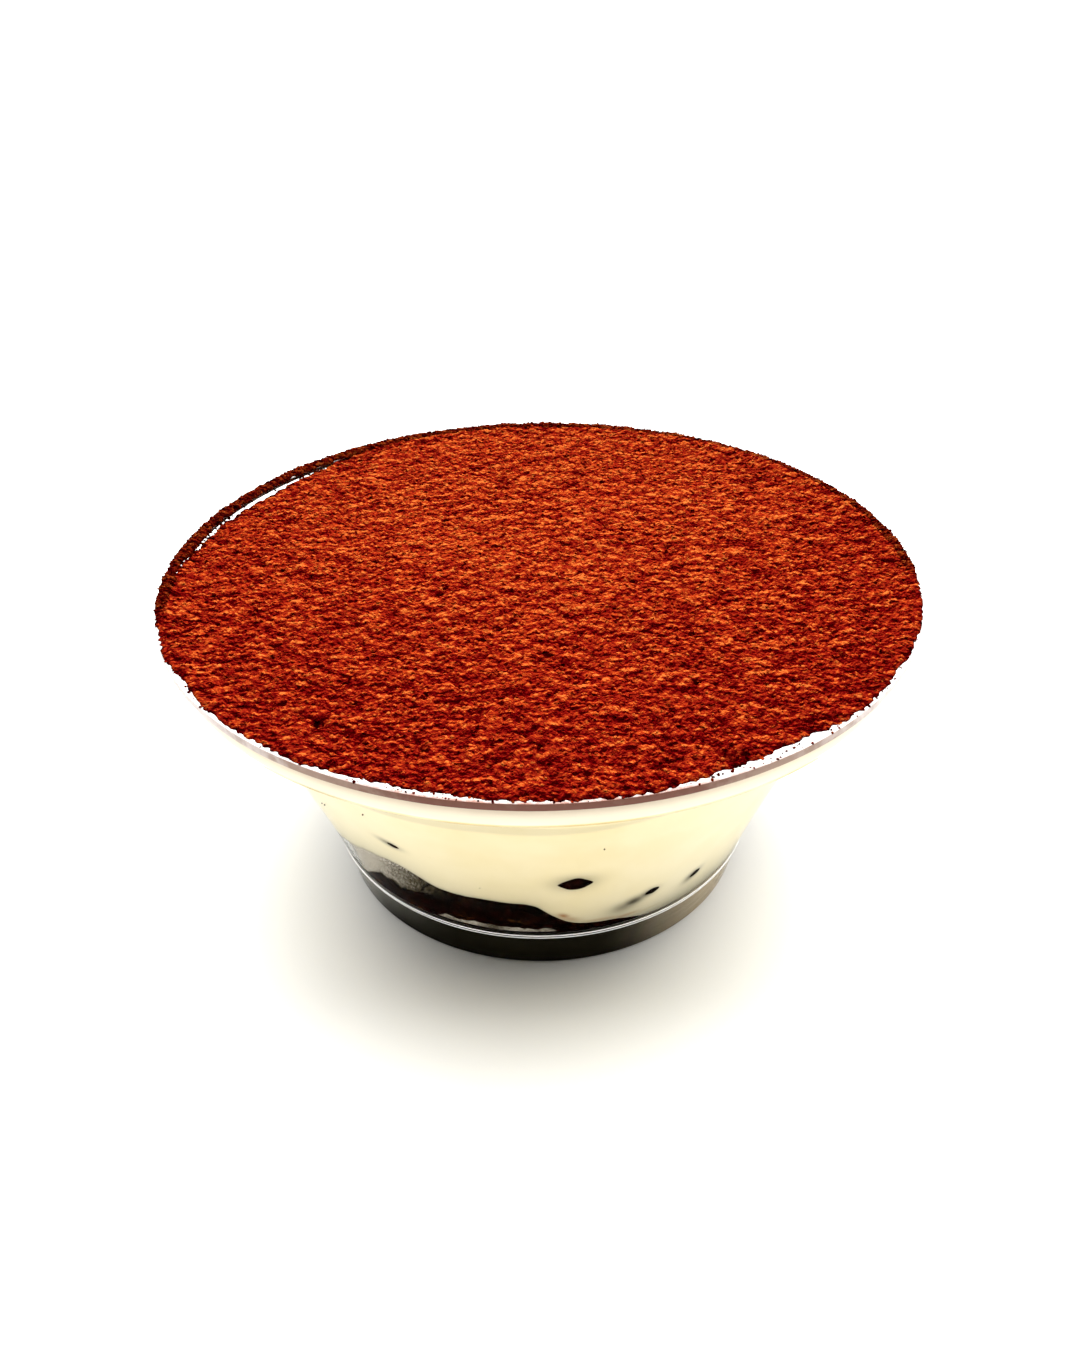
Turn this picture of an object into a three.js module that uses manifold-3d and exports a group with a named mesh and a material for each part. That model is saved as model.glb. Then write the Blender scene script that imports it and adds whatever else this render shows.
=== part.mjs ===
// Tiramisu in a clear plastic dessert cup. A coffee-soaked sponge lies on the cup's raised floor, a pale
// cream covers it and fills the cup to its collar, and a layer of cocoa powder closes the top. A few bits
// of sponge sit in the cream where it meets the wall.
// Millimetres, +Z up, origin on the table at the middle of the foot. Azimuths are in degrees from +X,
// turning towards +Y, so the front of the cup is at -90.
import * as THREE from "three";
import { mergeVertices } from "three/addons/utils/BufferGeometryUtils.js";
import Module from "manifold-3d";

// Cup.
const RIM_RADIUS = 58.5;
const CUP_HEIGHT = 52.2;
const WALL = 0.8; // measured level, through the body, the collar and the foot
const LIP_HEIGHT = 0.9;
const COLLAR_TOP_RADIUS = 57.3;
const COLLAR_FOOT_RADIUS = 56.9;
const LEDGE_HEIGHT = 47.9; // underside of the stacking ledge that carries the collar
const CORNER_RADIUS = 35.95; // where the foot, the floor and the body meet
const CORNER_HEIGHT = 7.28;
const FOOT_RADIUS = 34.2;
const FOOT_RING_WIDTH = 1.1;
const BODY_SLOPE = 0.2978; // outward lean of the body at the corner
const BODY_FLARE = 0.0031983; // how fast that lean grows with height, per millimetre
const FLOOR_TOP = 7.6;
const FLOOR_UNDERSIDE = 6.8;

// Filling.
const GAP = 0.3; // between touching pieces
const SURFACE_HEIGHT = 52.1; // top of the cocoa away from its uneven stretches
const COCOA_THICKNESS = 0.8;
const WAVE_HEIGHT = 0.15; // of the gentle waves over the whole surface
const WAVE_LENGTHS = [11, 9, 17];
const WAVE_START = 1;
const EDGE_START = 45; // outside this radius the surface levels out, then sinks or rises to the wall
const LOW_EDGE_DROP = 1.4; // it sinks this far against the wall along one stretch
const LOW_EDGE_MIDDLE = 140;
const LOW_EDGE_SPREAD = 62;
const HIGH_EDGE_RISE = 0.45; // and is heaped up along another
const HIGH_EDGE_MIDDLE = 45;
const HIGH_EDGE_SPREAD = 50;

// Sponge. CREAM_EDGE is the cream's lower edge against the wall, as azimuth and height, right round the
// cup. POCKET is how far the sponge's own edge has sunk below it, which leaves an air pocket at the wall.
const CREAM_EDGE = [
  [-180, 12], [-165, 11.5], [-150, 14.5], [-138, 17.8], [-126, 20.6], [-115, 17.5], [-108, 16.7],
  [-93, 16.3], [-85, 11], [-77, 9.5], [-66, 9.1], [-40, 9], [-10, 11], [40, 16], [90, 18], [140, 15],
  [180, 12],
];
const POCKET = [
  [-180, 0], [-168, 0], [-145, 5.6], [-136, 7.4], [-122, 7.6], [-110, 2.2], [-104, 4.3], [-95, 1.9],
  [-91, 2.6], [-86, 0], [180, 0],
];
const SPONGE_MIDDLE_HEIGHT = 18;
const SPONGE_SHOULDER = 0.5; // share of the radius inside which the sponge keeps its middle height
const POCKET_START = 0.9; // share of the radius at which the pocket begins
const SET_BACK = 3; // the cream gets between the sponge and the wall along one stretch
const SET_BACK_MIDDLE = -42;
const SET_BACK_SPREAD = 26;
const LEAST_SET_BACK = 0.6; // under this the cream leaves the sponge's side bare

// Sponge bits in the cream. The size is the width along the wall, the height and the depth.
const BITS = [
  { azimuth: -84.3, height: 22.9, size: [3.8, 3.2, 3.2], tilt: 0 },
  { azimuth: -65.6, height: 14.1, size: [5.2, 1.7, 2.4], tilt: 27 },
  { azimuth: -51.5, height: 14, size: [2.1, 1.2, 1.6], tilt: 45 },
  { azimuth: -120.4, height: 26.9, size: [1.9, 1, 1.4], tilt: -15 },
];

// Mesh fineness. Points nearer than MERGE_DISTANCE are one.
const MERGE_DISTANCE = 1e-3;
const SEGMENTS = 64;
const BODY_STEPS = 5;
const DISC_RINGS = 6;
const SPONGE_RINGS = [0, 0.3, 0.5, 0.65, 0.8, 0.9, 1]; // shares of its radius
const SPONGE_SIDE_STEPS = 3;
const BIT_SEGMENTS = 12;

const lerp = THREE.MathUtils.lerp;
const rise = THREE.MathUtils.smoothstep;
const radians = THREE.MathUtils.degToRad;
const shares = (steps) => Array.from({ length: steps + 1 }, (_, step) => step / steps);

const wasm = await Module();
wasm.setup();

// Outer radius of the cup's body, and of its collar, at a height.
function bodyRadius(height) {
  const above = height - CORNER_HEIGHT;
  return CORNER_RADIUS + BODY_SLOPE * above + BODY_FLARE * above ** 2;
}

function collarRadius(height) {
  const share = (height - LEDGE_HEIGHT) / (CUP_HEIGHT - LIP_HEIGHT - LEDGE_HEIGHT);
  return lerp(COLLAR_FOOT_RADIUS, COLLAR_TOP_RADIUS, share);
}

// 1 at the middle azimuth, falling smoothly to 0 at the spread on either side.
function swell(azimuth, middle, spread) {
  const away = Math.abs(THREE.MathUtils.euclideanModulo(azimuth - middle + 180, 360) - 180);
  return away < spread ? Math.cos((away / spread) * (Math.PI / 2)) ** 2 : 0;
}

// Value at an azimuth on a line of azimuth and value points, eased between them.
function onLine(line, azimuth) {
  const end = line.findIndex(([at]) => at >= azimuth);
  const [[fromAt, from], [toAt, to]] = line.slice(Math.max(end, 1) - 1);
  return lerp(from, to, rise(azimuth, fromAt, toAt));
}

// Top of the cocoa.
function surfaceHeight(x, y) {
  const azimuth = THREE.MathUtils.radToDeg(Math.atan2(y, x));
  const nearWall = rise(Math.hypot(x, y), EDGE_START, COLLAR_FOOT_RADIUS);
  const low = LOW_EDGE_DROP * swell(azimuth, LOW_EDGE_MIDDLE, LOW_EDGE_SPREAD);
  const high = HIGH_EDGE_RISE * swell(azimuth, HIGH_EDGE_MIDDLE, HIGH_EDGE_SPREAD);
  const [along, across, skew] = WAVE_LENGTHS;
  const wave = Math.sin(x / along + WAVE_START) + Math.cos(y / across - x / skew);
  return SURFACE_HEIGHT + WAVE_HEIGHT * wave * (1 - nearWall) + (high - low) * nearWall;
}

// The cup's inside as radius and height, from the foot of the body up, moved inwards by a clearance.
function insideOutline(clearance, top) {
  const inset = WALL + clearance;
  const shelf = LEDGE_HEIGHT + WALL + clearance;
  const heights = shares(BODY_STEPS).map((share) => lerp(FLOOR_TOP + clearance, shelf, share));
  return [
    ...heights.map((height) => [bodyRadius(height) - inset, height]),
    [collarRadius(shelf) - inset, shelf],
    [collarRadius(top) - inset, top],
  ];
}

// Turns an outline of radius and height points about Z. The outline starts and ends on the axis and
// runs with the solid on its left; place() may then move each point of the skin.
function turned(outline, place) {
  const points = outline.map(([radius, height]) => new THREE.Vector2(radius, height));
  const lathe = new THREE.LatheGeometry(points, SEGMENTS).rotateX(Math.PI / 2);
  lathe.deleteAttribute("normal");
  lathe.deleteAttribute("uv");
  const merged = mergeVertices(lathe, MERGE_DISTANCE);
  const position = merged.getAttribute("position");
  const point = new THREE.Vector3();
  for (let index = 0; place && index < position.count; index += 1) {
    place(point.fromBufferAttribute(position, index));
    position.setXYZ(index, point.x, point.y, point.z);
  }
  return merged;
}

function solidFrom(geometry) {
  return new wasm.Manifold(
    new wasm.Mesh({
      numProp: 3,
      vertProperties: geometry.getAttribute("position").array,
      triVerts: new Uint32Array(geometry.index.array),
    }),
  );
}

function geometryFrom(solid) {
  const { vertProperties, triVerts } = solid.getMesh();
  return new THREE.BufferGeometry()
    .setAttribute("position", new THREE.BufferAttribute(vertProperties, 3))
    .setIndex(new THREE.BufferAttribute(triVerts, 1));
}

// Clear cup: floor, flared body, stacking ledge, collar and lip in one piece, on an open foot.
function cupGeometry() {
  const lipUnderside = CUP_HEIGHT - LIP_HEIGHT;
  const bodyUp = shares(BODY_STEPS).map((share) => lerp(CORNER_HEIGHT, LEDGE_HEIGHT, share));
  return turned([
    [0, FLOOR_UNDERSIDE],
    [CORNER_RADIUS - FOOT_RING_WIDTH, FLOOR_UNDERSIDE],
    [FOOT_RADIUS - FOOT_RING_WIDTH, 0],
    [FOOT_RADIUS, 0],
    ...bodyUp.map((height) => [bodyRadius(height), height]),
    [COLLAR_FOOT_RADIUS, LEDGE_HEIGHT],
    [COLLAR_TOP_RADIUS, lipUnderside],
    [RIM_RADIUS, lipUnderside],
    [RIM_RADIUS, CUP_HEIGHT],
    ...insideOutline(0, CUP_HEIGHT).reverse(),
    [0, FLOOR_TOP],
  ]);
}

// Everything inside the cup up to the underside of the cocoa.
function fillingGeometry() {
  const top = SURFACE_HEIGHT - COCOA_THICKNESS - GAP;
  const outline = insideOutline(GAP, top);
  const [edgeRadius] = outline.at(-1);
  const surface = shares(DISC_RINGS).slice(1).map((share) => [edgeRadius * (1 - share), top]);
  return turned([[0, FLOOR_TOP + GAP], ...outline, ...surface], (point) => {
    if (point.z < top - MERGE_DISTANCE) return;
    point.z = surfaceHeight(point.x, point.y) - COCOA_THICKNESS - GAP;
  });
}

// Cocoa powder, an even layer under the uneven surface.
function cocoaGeometry() {
  const edge = (height) => collarRadius(height) - WALL - GAP;
  const bottom = SURFACE_HEIGHT - COCOA_THICKNESS;
  const outline = [
    ...shares(DISC_RINGS).map((share) => [edge(bottom) * share, bottom]),
    ...shares(DISC_RINGS).map((share) => [edge(bottom) * (1 - share), SURFACE_HEIGHT]),
  ];
  return turned(outline, (point) => {
    point.z += surfaceHeight(point.x, point.y) - SURFACE_HEIGHT;
  });
}

const setBack = (azimuth) => SET_BACK * swell(azimuth, SET_BACK_MIDDLE, SET_BACK_SPREAD);
const spongeSide = (azimuth, height) => bodyRadius(height) - WALL - GAP - setBack(azimuth);

// The cream's underside at a share of the sponge's radius, and the sponge's top below it.
function creamUnderside(azimuth, share) {
  const edge = onLine(CREAM_EDGE, azimuth);
  return lerp(SPONGE_MIDDLE_HEIGHT, edge, rise(share, SPONGE_SHOULDER, 1));
}

function spongeTop(azimuth, share) {
  return creamUnderside(azimuth, share) - onLine(POCKET, azimuth) * rise(share, POCKET_START, 1);
}

// A mound of the sponge's plan from a level bottom up to top(azimuth, share). With a spread it gets one
// more ring of skin, that far outside the sponge's side.
function mound(bottom, top, spread) {
  const last = SPONGE_RINGS.length - (spread ? 0 : 1);
  const rings = Array.from({ length: last + 1 }, (_, ring) => ring);
  const outline = [
    ...rings.map((ring) => [ring, 0]),
    ...shares(SPONGE_SIDE_STEPS).slice(1, -1).map((share) => [last, share]),
    ...rings.toReversed().map((ring) => [ring, 1]),
  ];
  return turned(outline, (point) => {
    const azimuth = THREE.MathUtils.radToDeg(Math.atan2(point.y, point.x));
    const ring = Math.round(Math.hypot(point.x, point.y));
    const share = SPONGE_RINGS[ring] ?? 1;
    const inner = share * spongeSide(azimuth, creamUnderside(azimuth, 1));
    const side = spongeSide(azimuth, lerp(bottom, top(azimuth, 1), point.z));
    const beyond = ring < SPONGE_RINGS.length ? 0 : spread(azimuth);
    const radius = share < 1 ? inner : side + beyond;
    point.set(
      radius * Math.cos(radians(azimuth)),
      radius * Math.sin(radians(azimuth)),
      lerp(bottom, top(azimuth, share), point.z),
    );
  });
}

// Coffee-soaked sponge.
function spongeGeometry() {
  return mound(FLOOR_TOP + GAP, spongeTop);
}

// The room that the cream leaves for the sponge. It runs out through the cream's side where the sponge
// reaches the wall, and through its bottom everywhere.
function spongeRoomGeometry() {
  return mound(
    CORNER_HEIGHT,
    (azimuth, share) => creamUnderside(azimuth, share) + GAP,
    (azimuth) => (setBack(azimuth) < LEAST_SET_BACK ? GAP + WALL : GAP),
  );
}

// An oval lump at the inside of the wall, grown by a margin.
function bitGeometry({ azimuth, height, size: [width, tall, deep], tilt }, margin) {
  const lump = new THREE.SphereGeometry(0.5, BIT_SEGMENTS, BIT_SEGMENTS / 2);
  lump.deleteAttribute("normal");
  lump.deleteAttribute("uv");
  const lean = Math.atan(BODY_SLOPE + 2 * BODY_FLARE * (height - CORNER_HEIGHT));
  const grown = 2 * margin;
  return mergeVertices(lump, MERGE_DISTANCE)
    .scale(width + grown, deep + grown, tall + grown)
    .rotateY(radians(-tilt))
    .rotateX(lean)
    .translate(0, WALL + GAP - bodyRadius(height), height)
    .rotateZ(radians(azimuth + 90));
}

const filling = solidFrom(fillingGeometry());
const bits = BITS.map((bit) => solidFrom(bitGeometry(bit, 0)).intersect(filling));
const cream = BITS.reduce(
  (left, bit) => left.subtract(solidFrom(bitGeometry(bit, GAP))),
  filling.subtract(solidFrom(spongeRoomGeometry())),
);

const clearPlastic = new THREE.MeshStandardMaterial({
  color: 0xe9ecec,
  roughness: 0.06,
  transparent: true,
  opacity: 0.25,
});
const mascarpone = new THREE.MeshStandardMaterial({ color: 0xfff0c2, roughness: 0.45 });
const soakedSponge = new THREE.MeshStandardMaterial({ color: 0x2a120a, roughness: 0.5 });
const cocoaPowder = new THREE.MeshStandardMaterial({ color: 0xa8390c, roughness: 1 });

const pieces = {
  cup: [cupGeometry(), clearPlastic],
  cream: [geometryFrom(cream), mascarpone],
  sponge: [spongeGeometry(), soakedSponge],
  cocoa: [cocoaGeometry(), cocoaPowder],
};
bits.forEach((bit, index) => {
  pieces[`sponge_bit_${index + 1}`] = [geometryFrom(bit), soakedSponge];
});

const tiramisu = new THREE.Group();
for (const [name, [geometry, material]] of Object.entries(pieces)) {
  const mesh = new THREE.Mesh(geometry, material);
  mesh.name = name;
  tiramisu.add(mesh);
}

export default tiramisu;
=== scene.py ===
"""Tiramisu in a clear cup.

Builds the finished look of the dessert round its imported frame: the clear cup, the cream with its bits of
sponge, the soaked sponge with the air pocket at its edge, and the cocoa powder on top. Everything is in
metres. Azimuths are in degrees from +X, turning towards +Y, so the front of the cup is at -90.
"""

import math

import bpy
import numpy as np
from bpy.props import FloatProperty, FloatVectorProperty, IntProperty, PointerProperty
from mathutils import Euler, Matrix, Vector


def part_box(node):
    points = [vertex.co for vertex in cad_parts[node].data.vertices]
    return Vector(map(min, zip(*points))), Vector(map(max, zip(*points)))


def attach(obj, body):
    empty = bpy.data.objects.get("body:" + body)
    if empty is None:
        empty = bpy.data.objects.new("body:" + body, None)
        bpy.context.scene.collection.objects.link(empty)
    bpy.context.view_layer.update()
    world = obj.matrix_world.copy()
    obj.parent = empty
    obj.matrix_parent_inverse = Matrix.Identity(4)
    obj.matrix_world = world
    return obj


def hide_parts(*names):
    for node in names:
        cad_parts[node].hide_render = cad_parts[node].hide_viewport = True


bl_info = {
    "name": "Tiramisu in a Clear Cup",
    "version": (1, 0, 0),
    "blender": (4, 5, 0),
    "location": "View3D > Sidebar > Tiramisu",
    "description": "Builds a cocoa-topped tiramisu in a wide clear dessert cup",
    "category": "Add Mesh",
}

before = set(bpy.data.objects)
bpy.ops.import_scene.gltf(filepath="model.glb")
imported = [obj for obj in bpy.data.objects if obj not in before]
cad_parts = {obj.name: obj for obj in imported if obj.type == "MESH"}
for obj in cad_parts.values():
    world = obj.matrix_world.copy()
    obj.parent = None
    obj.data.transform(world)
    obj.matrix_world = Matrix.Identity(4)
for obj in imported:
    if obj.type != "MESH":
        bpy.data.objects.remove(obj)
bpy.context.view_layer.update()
BODY = "root"
MM = 0.001
WHITE = (1, 1, 1)

# Cup. The frame gives its outer size, the rest is its section.
RIM_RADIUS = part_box("cup")[1][0]
CUP_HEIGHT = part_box("cup")[1][2]
WALL = 0.8 * MM
LEDGE_WALL = 0.35 * MM  # the plastic is thinner at the ledge than up at the rim and down the body
LIP_HEIGHT = 1.12 * MM
COLLAR_TOP_RADIUS = 57.3 * MM
COLLAR_FOOT_RADIUS = 56.9 * MM
LEDGE_HEIGHT = 47.0 * MM
CORNER_RADIUS = 35.95 * MM
CORNER_HEIGHT = 7.28 * MM
FOOT_RADIUS = 34.2 * MM
FOOT_RING_WIDTH = 1.1 * MM
BODY_SLOPE = 0.2978
BODY_FLARE = 3.1983
BODY_ROWS = 24
FLOOR_TOP = 7.6 * MM
FLOOR_UNDERSIDE = 6.8 * MM
REACH = 0.12 * MM  # the food reaches this far into the plastic that it touches
FOOD_INSET = WALL - REACH
LEDGE_MARK_FROM = 56.2 * MM  # the ledge's corner looks tan outside this radius
FLANGE_DEPTH = 0.25 * MM
NEAR = 0.05 * MM  # a hair's breadth

# The beads above and below the corner over the foot: a painted highlight for the bright line there.
UPPER_BEAD_HEIGHT = CORNER_HEIGHT + 0.26 * MM
LOWER_BEAD_HEIGHT = CORNER_HEIGHT - 0.28 * MM
LOWER_BEAD_RADIUS = CORNER_RADIUS - 0.03 * MM
LOWER_BEAD_THINNER = 1.3  # how many times thinner it is than the upper one
BEAD_SIDES = 12

# Finishes of the cup, in the order of its material slots.
WALL_FINISH, LEDGE_FINISH, FLANGE_FINISH, LIP_FINISH, FOOT_FINISH = range(5)

# How dark the foot's painted shade of its hollow is and how brown the rim's edge is, round the cup: azimuth
# and share.
FOOT_SHADE = (
    (-180, 0.45), (-152, 0.40), (-146, 0.37), (-138, 0.68), (-130, 0.86), (-122, 0.97), (-116, 1.0),
    (-76, 1.0), (-72, 0.97), (-66, 0.85), (-58, 0.50), (-50, 0.24), (-42, 0.05), (-32, 0.0), (0, 0.45),
    (90, 0.5),
)
LIP_DUST = (
    (-180, 0.15), (-140, 0.0), (-131, 0.2), (-120.5, 0.43), (-112, 0.7), (-102, 1.0), (-76, 1.0), (-71, 0.85),
    (-66, 0.73), (-58.5, 0.5), (-49.5, 0.32), (-40, 0.1), (-31, 0.0), (0, 0.3), (90, 0.8), (140, 0.8),
)
FOOT_SHADE_SLOPE = 0.22  # painted shade is deeper low on the foot's left, by this much from middle to ends
FOOT_SHADE_SLOPE_AT = (-140, 30)
FULL_FOOT_SHADE = 1.05  # the bands in the painted shade die out towards this
LEVEL_BANDS = (0.25, 0.25, 3.0)  # stretches noise into level bands
FOOT_LEFT, FOOT_RIGHT = -25 * MM, 20 * MM  # the clear foot goes from one tint to the other between these

# Clear plastic, and the rim top and beads that carry painted highlights.
CLEAR_IOR = 1.03  # low, so that the food behind it shows unbent
CLEAR_ROUGHNESS = 0.05
GLINT_IOR = 1.4
HIGHLIGHT_IOR = 1.5

# Surface of the cocoa.
SURFACE_HEIGHT = 52.1 * MM
COCOA_THICKNESS = 0.8 * MM
COCOA_DEPTH = 2.6 * MM  # how thick the cocoa lies away from the wall, so that its pits stay in it
DEEP_FROM = 55.2 * MM
WAVE_HEIGHT = 0.15 * MM
WAVE_LENGTHS = (11 * MM, 9 * MM, 17 * MM)
EDGE_START = 45 * MM
LOW_EDGE_DROP = 0.95 * MM
LOW_EDGE = (153, 41)  # middle and half the width of the stretch where the surface sinks at the wall
HIGH_EDGE_RISE = 0.45 * MM
HIGH_EDGE = (45, 50)

# Lines round the wall, as azimuth and millimetres.
CREAM_EDGE = (
    (-180, 12), (-165, 11.5), (-150, 14.5), (-142, 16.6), (-137.7, 17.8), (-132.8, 19.4), (-129.3, 19.9),
    (-124.7, 20.7), (-121, 20.1), (-117.7, 18.7), (-114.8, 17.4), (-111, 16.8), (-102, 16.8),
    (-97.7, 16.5), (-93.7, 16.4), (-91.6, 15.8), (-89.5, 14), (-86.3, 11.6), (-82.7, 10.1), (-77.5, 9.45),
    (-71.8, 9.2), (-66.6, 8.1), (-63.5, 7.5), (-34, 7.5), (-22, 9), (-8, 11.5), (40, 16), (90, 18), (140, 15),
)
SPONGE_EDGE = (
    (-180, 12), (-168, 11.2), (-150, 8.4), (-142, 8.4), (-136.5, 11.1), (-133, 12.8), (-129, 12.9),
    (-127.3, 11.5), (-124.2, 12.2), (-120, 12.9), (-117.6, 12.2), (-113.6, 13.5), (-110.1, 15.1),
    (-108.8, 13), (-103.6, 12.4), (-100.5, 12.7), (-97.6, 14), (-95.3, 14.9), (-92.7, 13.5), (-90.9, 12.5),
    (-87.1, 12.1), (-84, 10.6), (-82.7, 10.1), (-77.5, 9.45), (-71.8, 9.2), (-66.6, 8.1), (-63.5, 7.5),
    (-34, 7.5), (-22, 9), (-8, 11.5), (40, 16), (90, 18), (140, 15),
)
SPONGE_FOOT = (
    (-180, 7.7), (-118.5, 7.7), (-117, 8.2), (-116.2, 8.3), (-115, 9.5), (-113.8, 9.2), (-111.5, 8.8),
    (-108.2, 9.1), (-107.2, 9.7), (-106.5, 9.3), (-103.8, 9.2), (-101, 9.0), (-97.5, 9.0), (-96.2, 9.3),
    (-94.9, 8.5), (-94.2, 8.9), (-91.5, 8.6), (-90, 9.1), (-88.2, 8.9), (-87, 8.2), (-86, 7.7), (180, 7.7),
)
# The cream is in the ledge's shadow between these two lines.
SHADOW_FOOT = (
    (-180, 41), (-140, 41), (-128, 37.5), (-118, 37.3), (-100, 37.9), (-90, 37.6), (-81, 37.9), (-75, 38.6),
    (-69, 39.3), (-60, 40), (0, 40),
)
SHADOW_TOP = (
    (-180, 41), (-140, 41), (-128, 40.9), (-100, 40.8), (-96, 40.4), (-90, 39.8), (-81, 39.5), (-72, 39.9),
    (-60, 40), (0, 40),
)
# How pale the back of the air pocket is painted: azimuth and share.
# Its grey is painted light for the lit floor seen through the open pocket, with beads of mist on it.
POCKET_LIGHT_AND_MIST = (
    (-180, 0.6), (-146, 0.95), (-138, 0.78), (-133, 0.6), (-129, 0.44), (-125, 0.3), (-121, 0.2),
    (-116, 0.12), (-110, 0.05), (-104, 0), (-60, 0), (0, 0), (120, 0),
)
CREAM_EDGE_SOFTNESS = 1.2
EDGE_WOBBLE = 0.05 * MM
SPONGE_EDGE_SOFTNESS = 0.5
SHADOW_SOFTNESS = 2
POCKET_LIGHT_SOFTNESS = 1.5

# Tones of the cream.
HIDDEN = 99.0  # stands for the height of what no wall shows
EDGE_VEIL = 0.45  # how grey the thin lower edge is
EDGE_VEIL_HEIGHT = 0.35 * MM
LOW_SHADE = 0.5  # how shaded it is just above its lower edge
LOW_SHADE_HEIGHT = 4.0 * MM
LOW_RIGHT = (-52, 42)  # the stretch where the shade is deeper and the edge isn't veiled
LOW_RIGHT_SHADE = 0.75
FRONT = -90
SIDE_LIGHT = 0.42  # how much painted light, in the collar's paler colour, shows at the sides
SIDES = (5, 42)  # how far from the front that starts and is full
SHADOW_SHADE = 0.3
SHADOW_FADE = (0.35 * MM, 0.25 * MM)
SEEN_UNDER_RIM = 50.1 * MM  # the collar shows up to here, below the rim's overhang
# The cream darkens just under the rim: painted shade, with some cocoa dust.
SHADE_AND_DUST_HEIGHT = 1.4 * MM
MARK_FADE = 1.6  # how quickly a grey halo or a stain fades from its middle
UNDERSIDE_RINGS = (0, 0.25, 0.5, 0.65, 0.8, 0.9, 0.95, 0.985)
WALL_RINGS = np.linspace(0, 1, 84) ** 1.15  # closer together low down, where the marks are
TOP_RINGS = (DEEP_FROM + 0.5 * MM, DEEP_FROM, 48 * MM, 37 * MM, 23 * MM, 8 * MM, 0)

# Grey halos where a bit of sponge lies just under the cream: azimuth, height, tilt, length, height and
# strength.
HALOS = (
    (-83.6, 22.5, 0, 7.8, 5.4, 0.75),
    (-68.6, 13.2, 20, 5.6, 3.4, 1.0),
    (-65.5, 14.3, 22, 4.6, 3.0, 0.85),
    (-70.5, 12.4, 12, 6.4, 4.0, 0.7),
    (-52.2, 13.7, 40, 4.2, 2.9, 0.85),
    (-121.3, 27.0, -14, 4.6, 2.2, 0.75),
)
# Coffee that has run into the cream, in the same terms.
COFFEE_STAINS = (
    (-85.4, 12.6, -35, 2.6, 1.5, 0.9),
    (-84.0, 11.6, -25, 5.0, 1.6, 0.5),
    (-76.0, 10.0, -4, 7.0, 1.0, 0.45),
    (-69.5, 9.5, 4, 5.0, 0.8, 0.6),
    (-64.0, 9.2, 6, 6.0, 0.5, 0.25),
)

# Sponge.
SPONGE_MIDDLE_HEIGHT = 18 * MM
SPONGE_SHOULDER = 0.5
SPONGE_FRONT = (-105, 60)  # where its edges are ragged
SPONGE_SET_BACK = 3 * MM
SET_BACK = (-42, 26)
UNDER_CREAM = 0.04 * MM  # how far its top keeps from the cream
STRIP_FOOT = 8.0 * MM  # the pale strip between the sponge and the floor starts at this height
# Painted light: how pale the strip is, for the lit table seen through the cup's floor.
STRIP_LIGHT = 0.42
POCKET_START = 0.9  # the air pocket starts at this share of the way out to the wall
LEAST_POCKET = 0.2
POCKET_RINGS = (0.03, 0.08, 0.16, 0.26, 0.38, 0.5, 0.62, 0.74, 0.86, 0.95, 1)
DRY = -0.3  # for sponge with no film, mist or painted light on it
# Bits of sponge against the wall: azimuth, height, width along the wall, height, depth, tilt and how far
# their ends are drawn out to points.
SPONGE_BITS = (
    (-83.45, 22.2, 5.5, 3.3, 3.2, 0, 0.65),
    (-64.3, 14.8, 2.5, 1.4, 2.4, 20, 0.35),
    (-51.5, 14.0, 2.2, 1.2, 1.6, 40, 0.35),
    (-120.4, 26.9, 2.1, 0.9, 1.4, -14, 0.35),
)
BIT_RINGS = 24
BIT_SIDES = 32
FROTH_SPAN = (-144, -119)
FROTH_HEIGHTS = (0.1 * MM, 1.6 * MM)  # where the bubbles start and end below the cream's edge

# The cocoa's ragged edge on the flat rim, as azimuth and millimetres from the middle.
BED_EDGE = (
    (-180, 58.2), (-165, 58.3), (-152, 58.2), (-147, 57.8), (-140, 58.1), (-120, 58.1), (-112, 57.6),
    (-100, 57.7), (-92, 58.1), (-76, 58.2), (-69, 57.5), (-62, 57.1), (-54, 57.1), (-49, 57.9), (-44, 58.1),
    (-38, 58.0), (-33, 57.9), (-28, 58.3), (-8, 58.3), (4, 57.2), (100, 57.0), (118, 57.0), (172, 57.2),
)
HEAP_RISE = 0.35 * MM  # the cocoa is heaped up by this much towards the rim
HEAP_FROM, HEAP_FULL = 53.5 * MM, 56 * MM
CLIMB = 0.32 * MM  # how far it climbs the wall by chance where its surface is low
CLIMB_FROM, CLIMB_FULL = 55.3 * MM, 56.3 * MM
EDGE_ROUNDING = 0.8 * MM
EDGE_LIFT = 0.35  # how much of the relief is left at its edge
# Where the cocoa's painted light is strongest, so that it is palest.
BRIGHTEST_SPOT = (0, 25 * MM, 52 * MM)
DARKEST_FROM, DARKEST_FULL = 20 * MM, 75 * MM  # how far from there the painted shade starts and is full
# Deep hollows in the cocoa: x, y, half width and depth in millimetres.
HOLLOWS = (
    (23.1, -49.9, 1.5, 1.9), (25.3, -49.4, 0.9, 1.2), (-28.7, -41.2, 1.2, 1.3), (-31.5, -38.9, 0.8, 0.9),
)
# From where to where the dust lies on the rim, how slowly it starts and how thick it is.
DUST_BAND = (-8.0, 197.0)
DUST_ENDS = 6
DUST_THICKNESS = 0.6 * MM
DUST_COLUMNS = 1500
# Specks of cocoa on the outside of the cup: azimuth, height and size in millimetres.
WALL_SPECKS = (
    (-137.0, 29.5, 0.2), (-135.8, 29.8, 0.25), (-121.8, 35.3, 0.26), (-79.5, 32.9, 0.22),
    (-103.0, 21.1, 0.14),
)
POWDER_SHARE = 1.04  # brightness of the powder's colours

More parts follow.
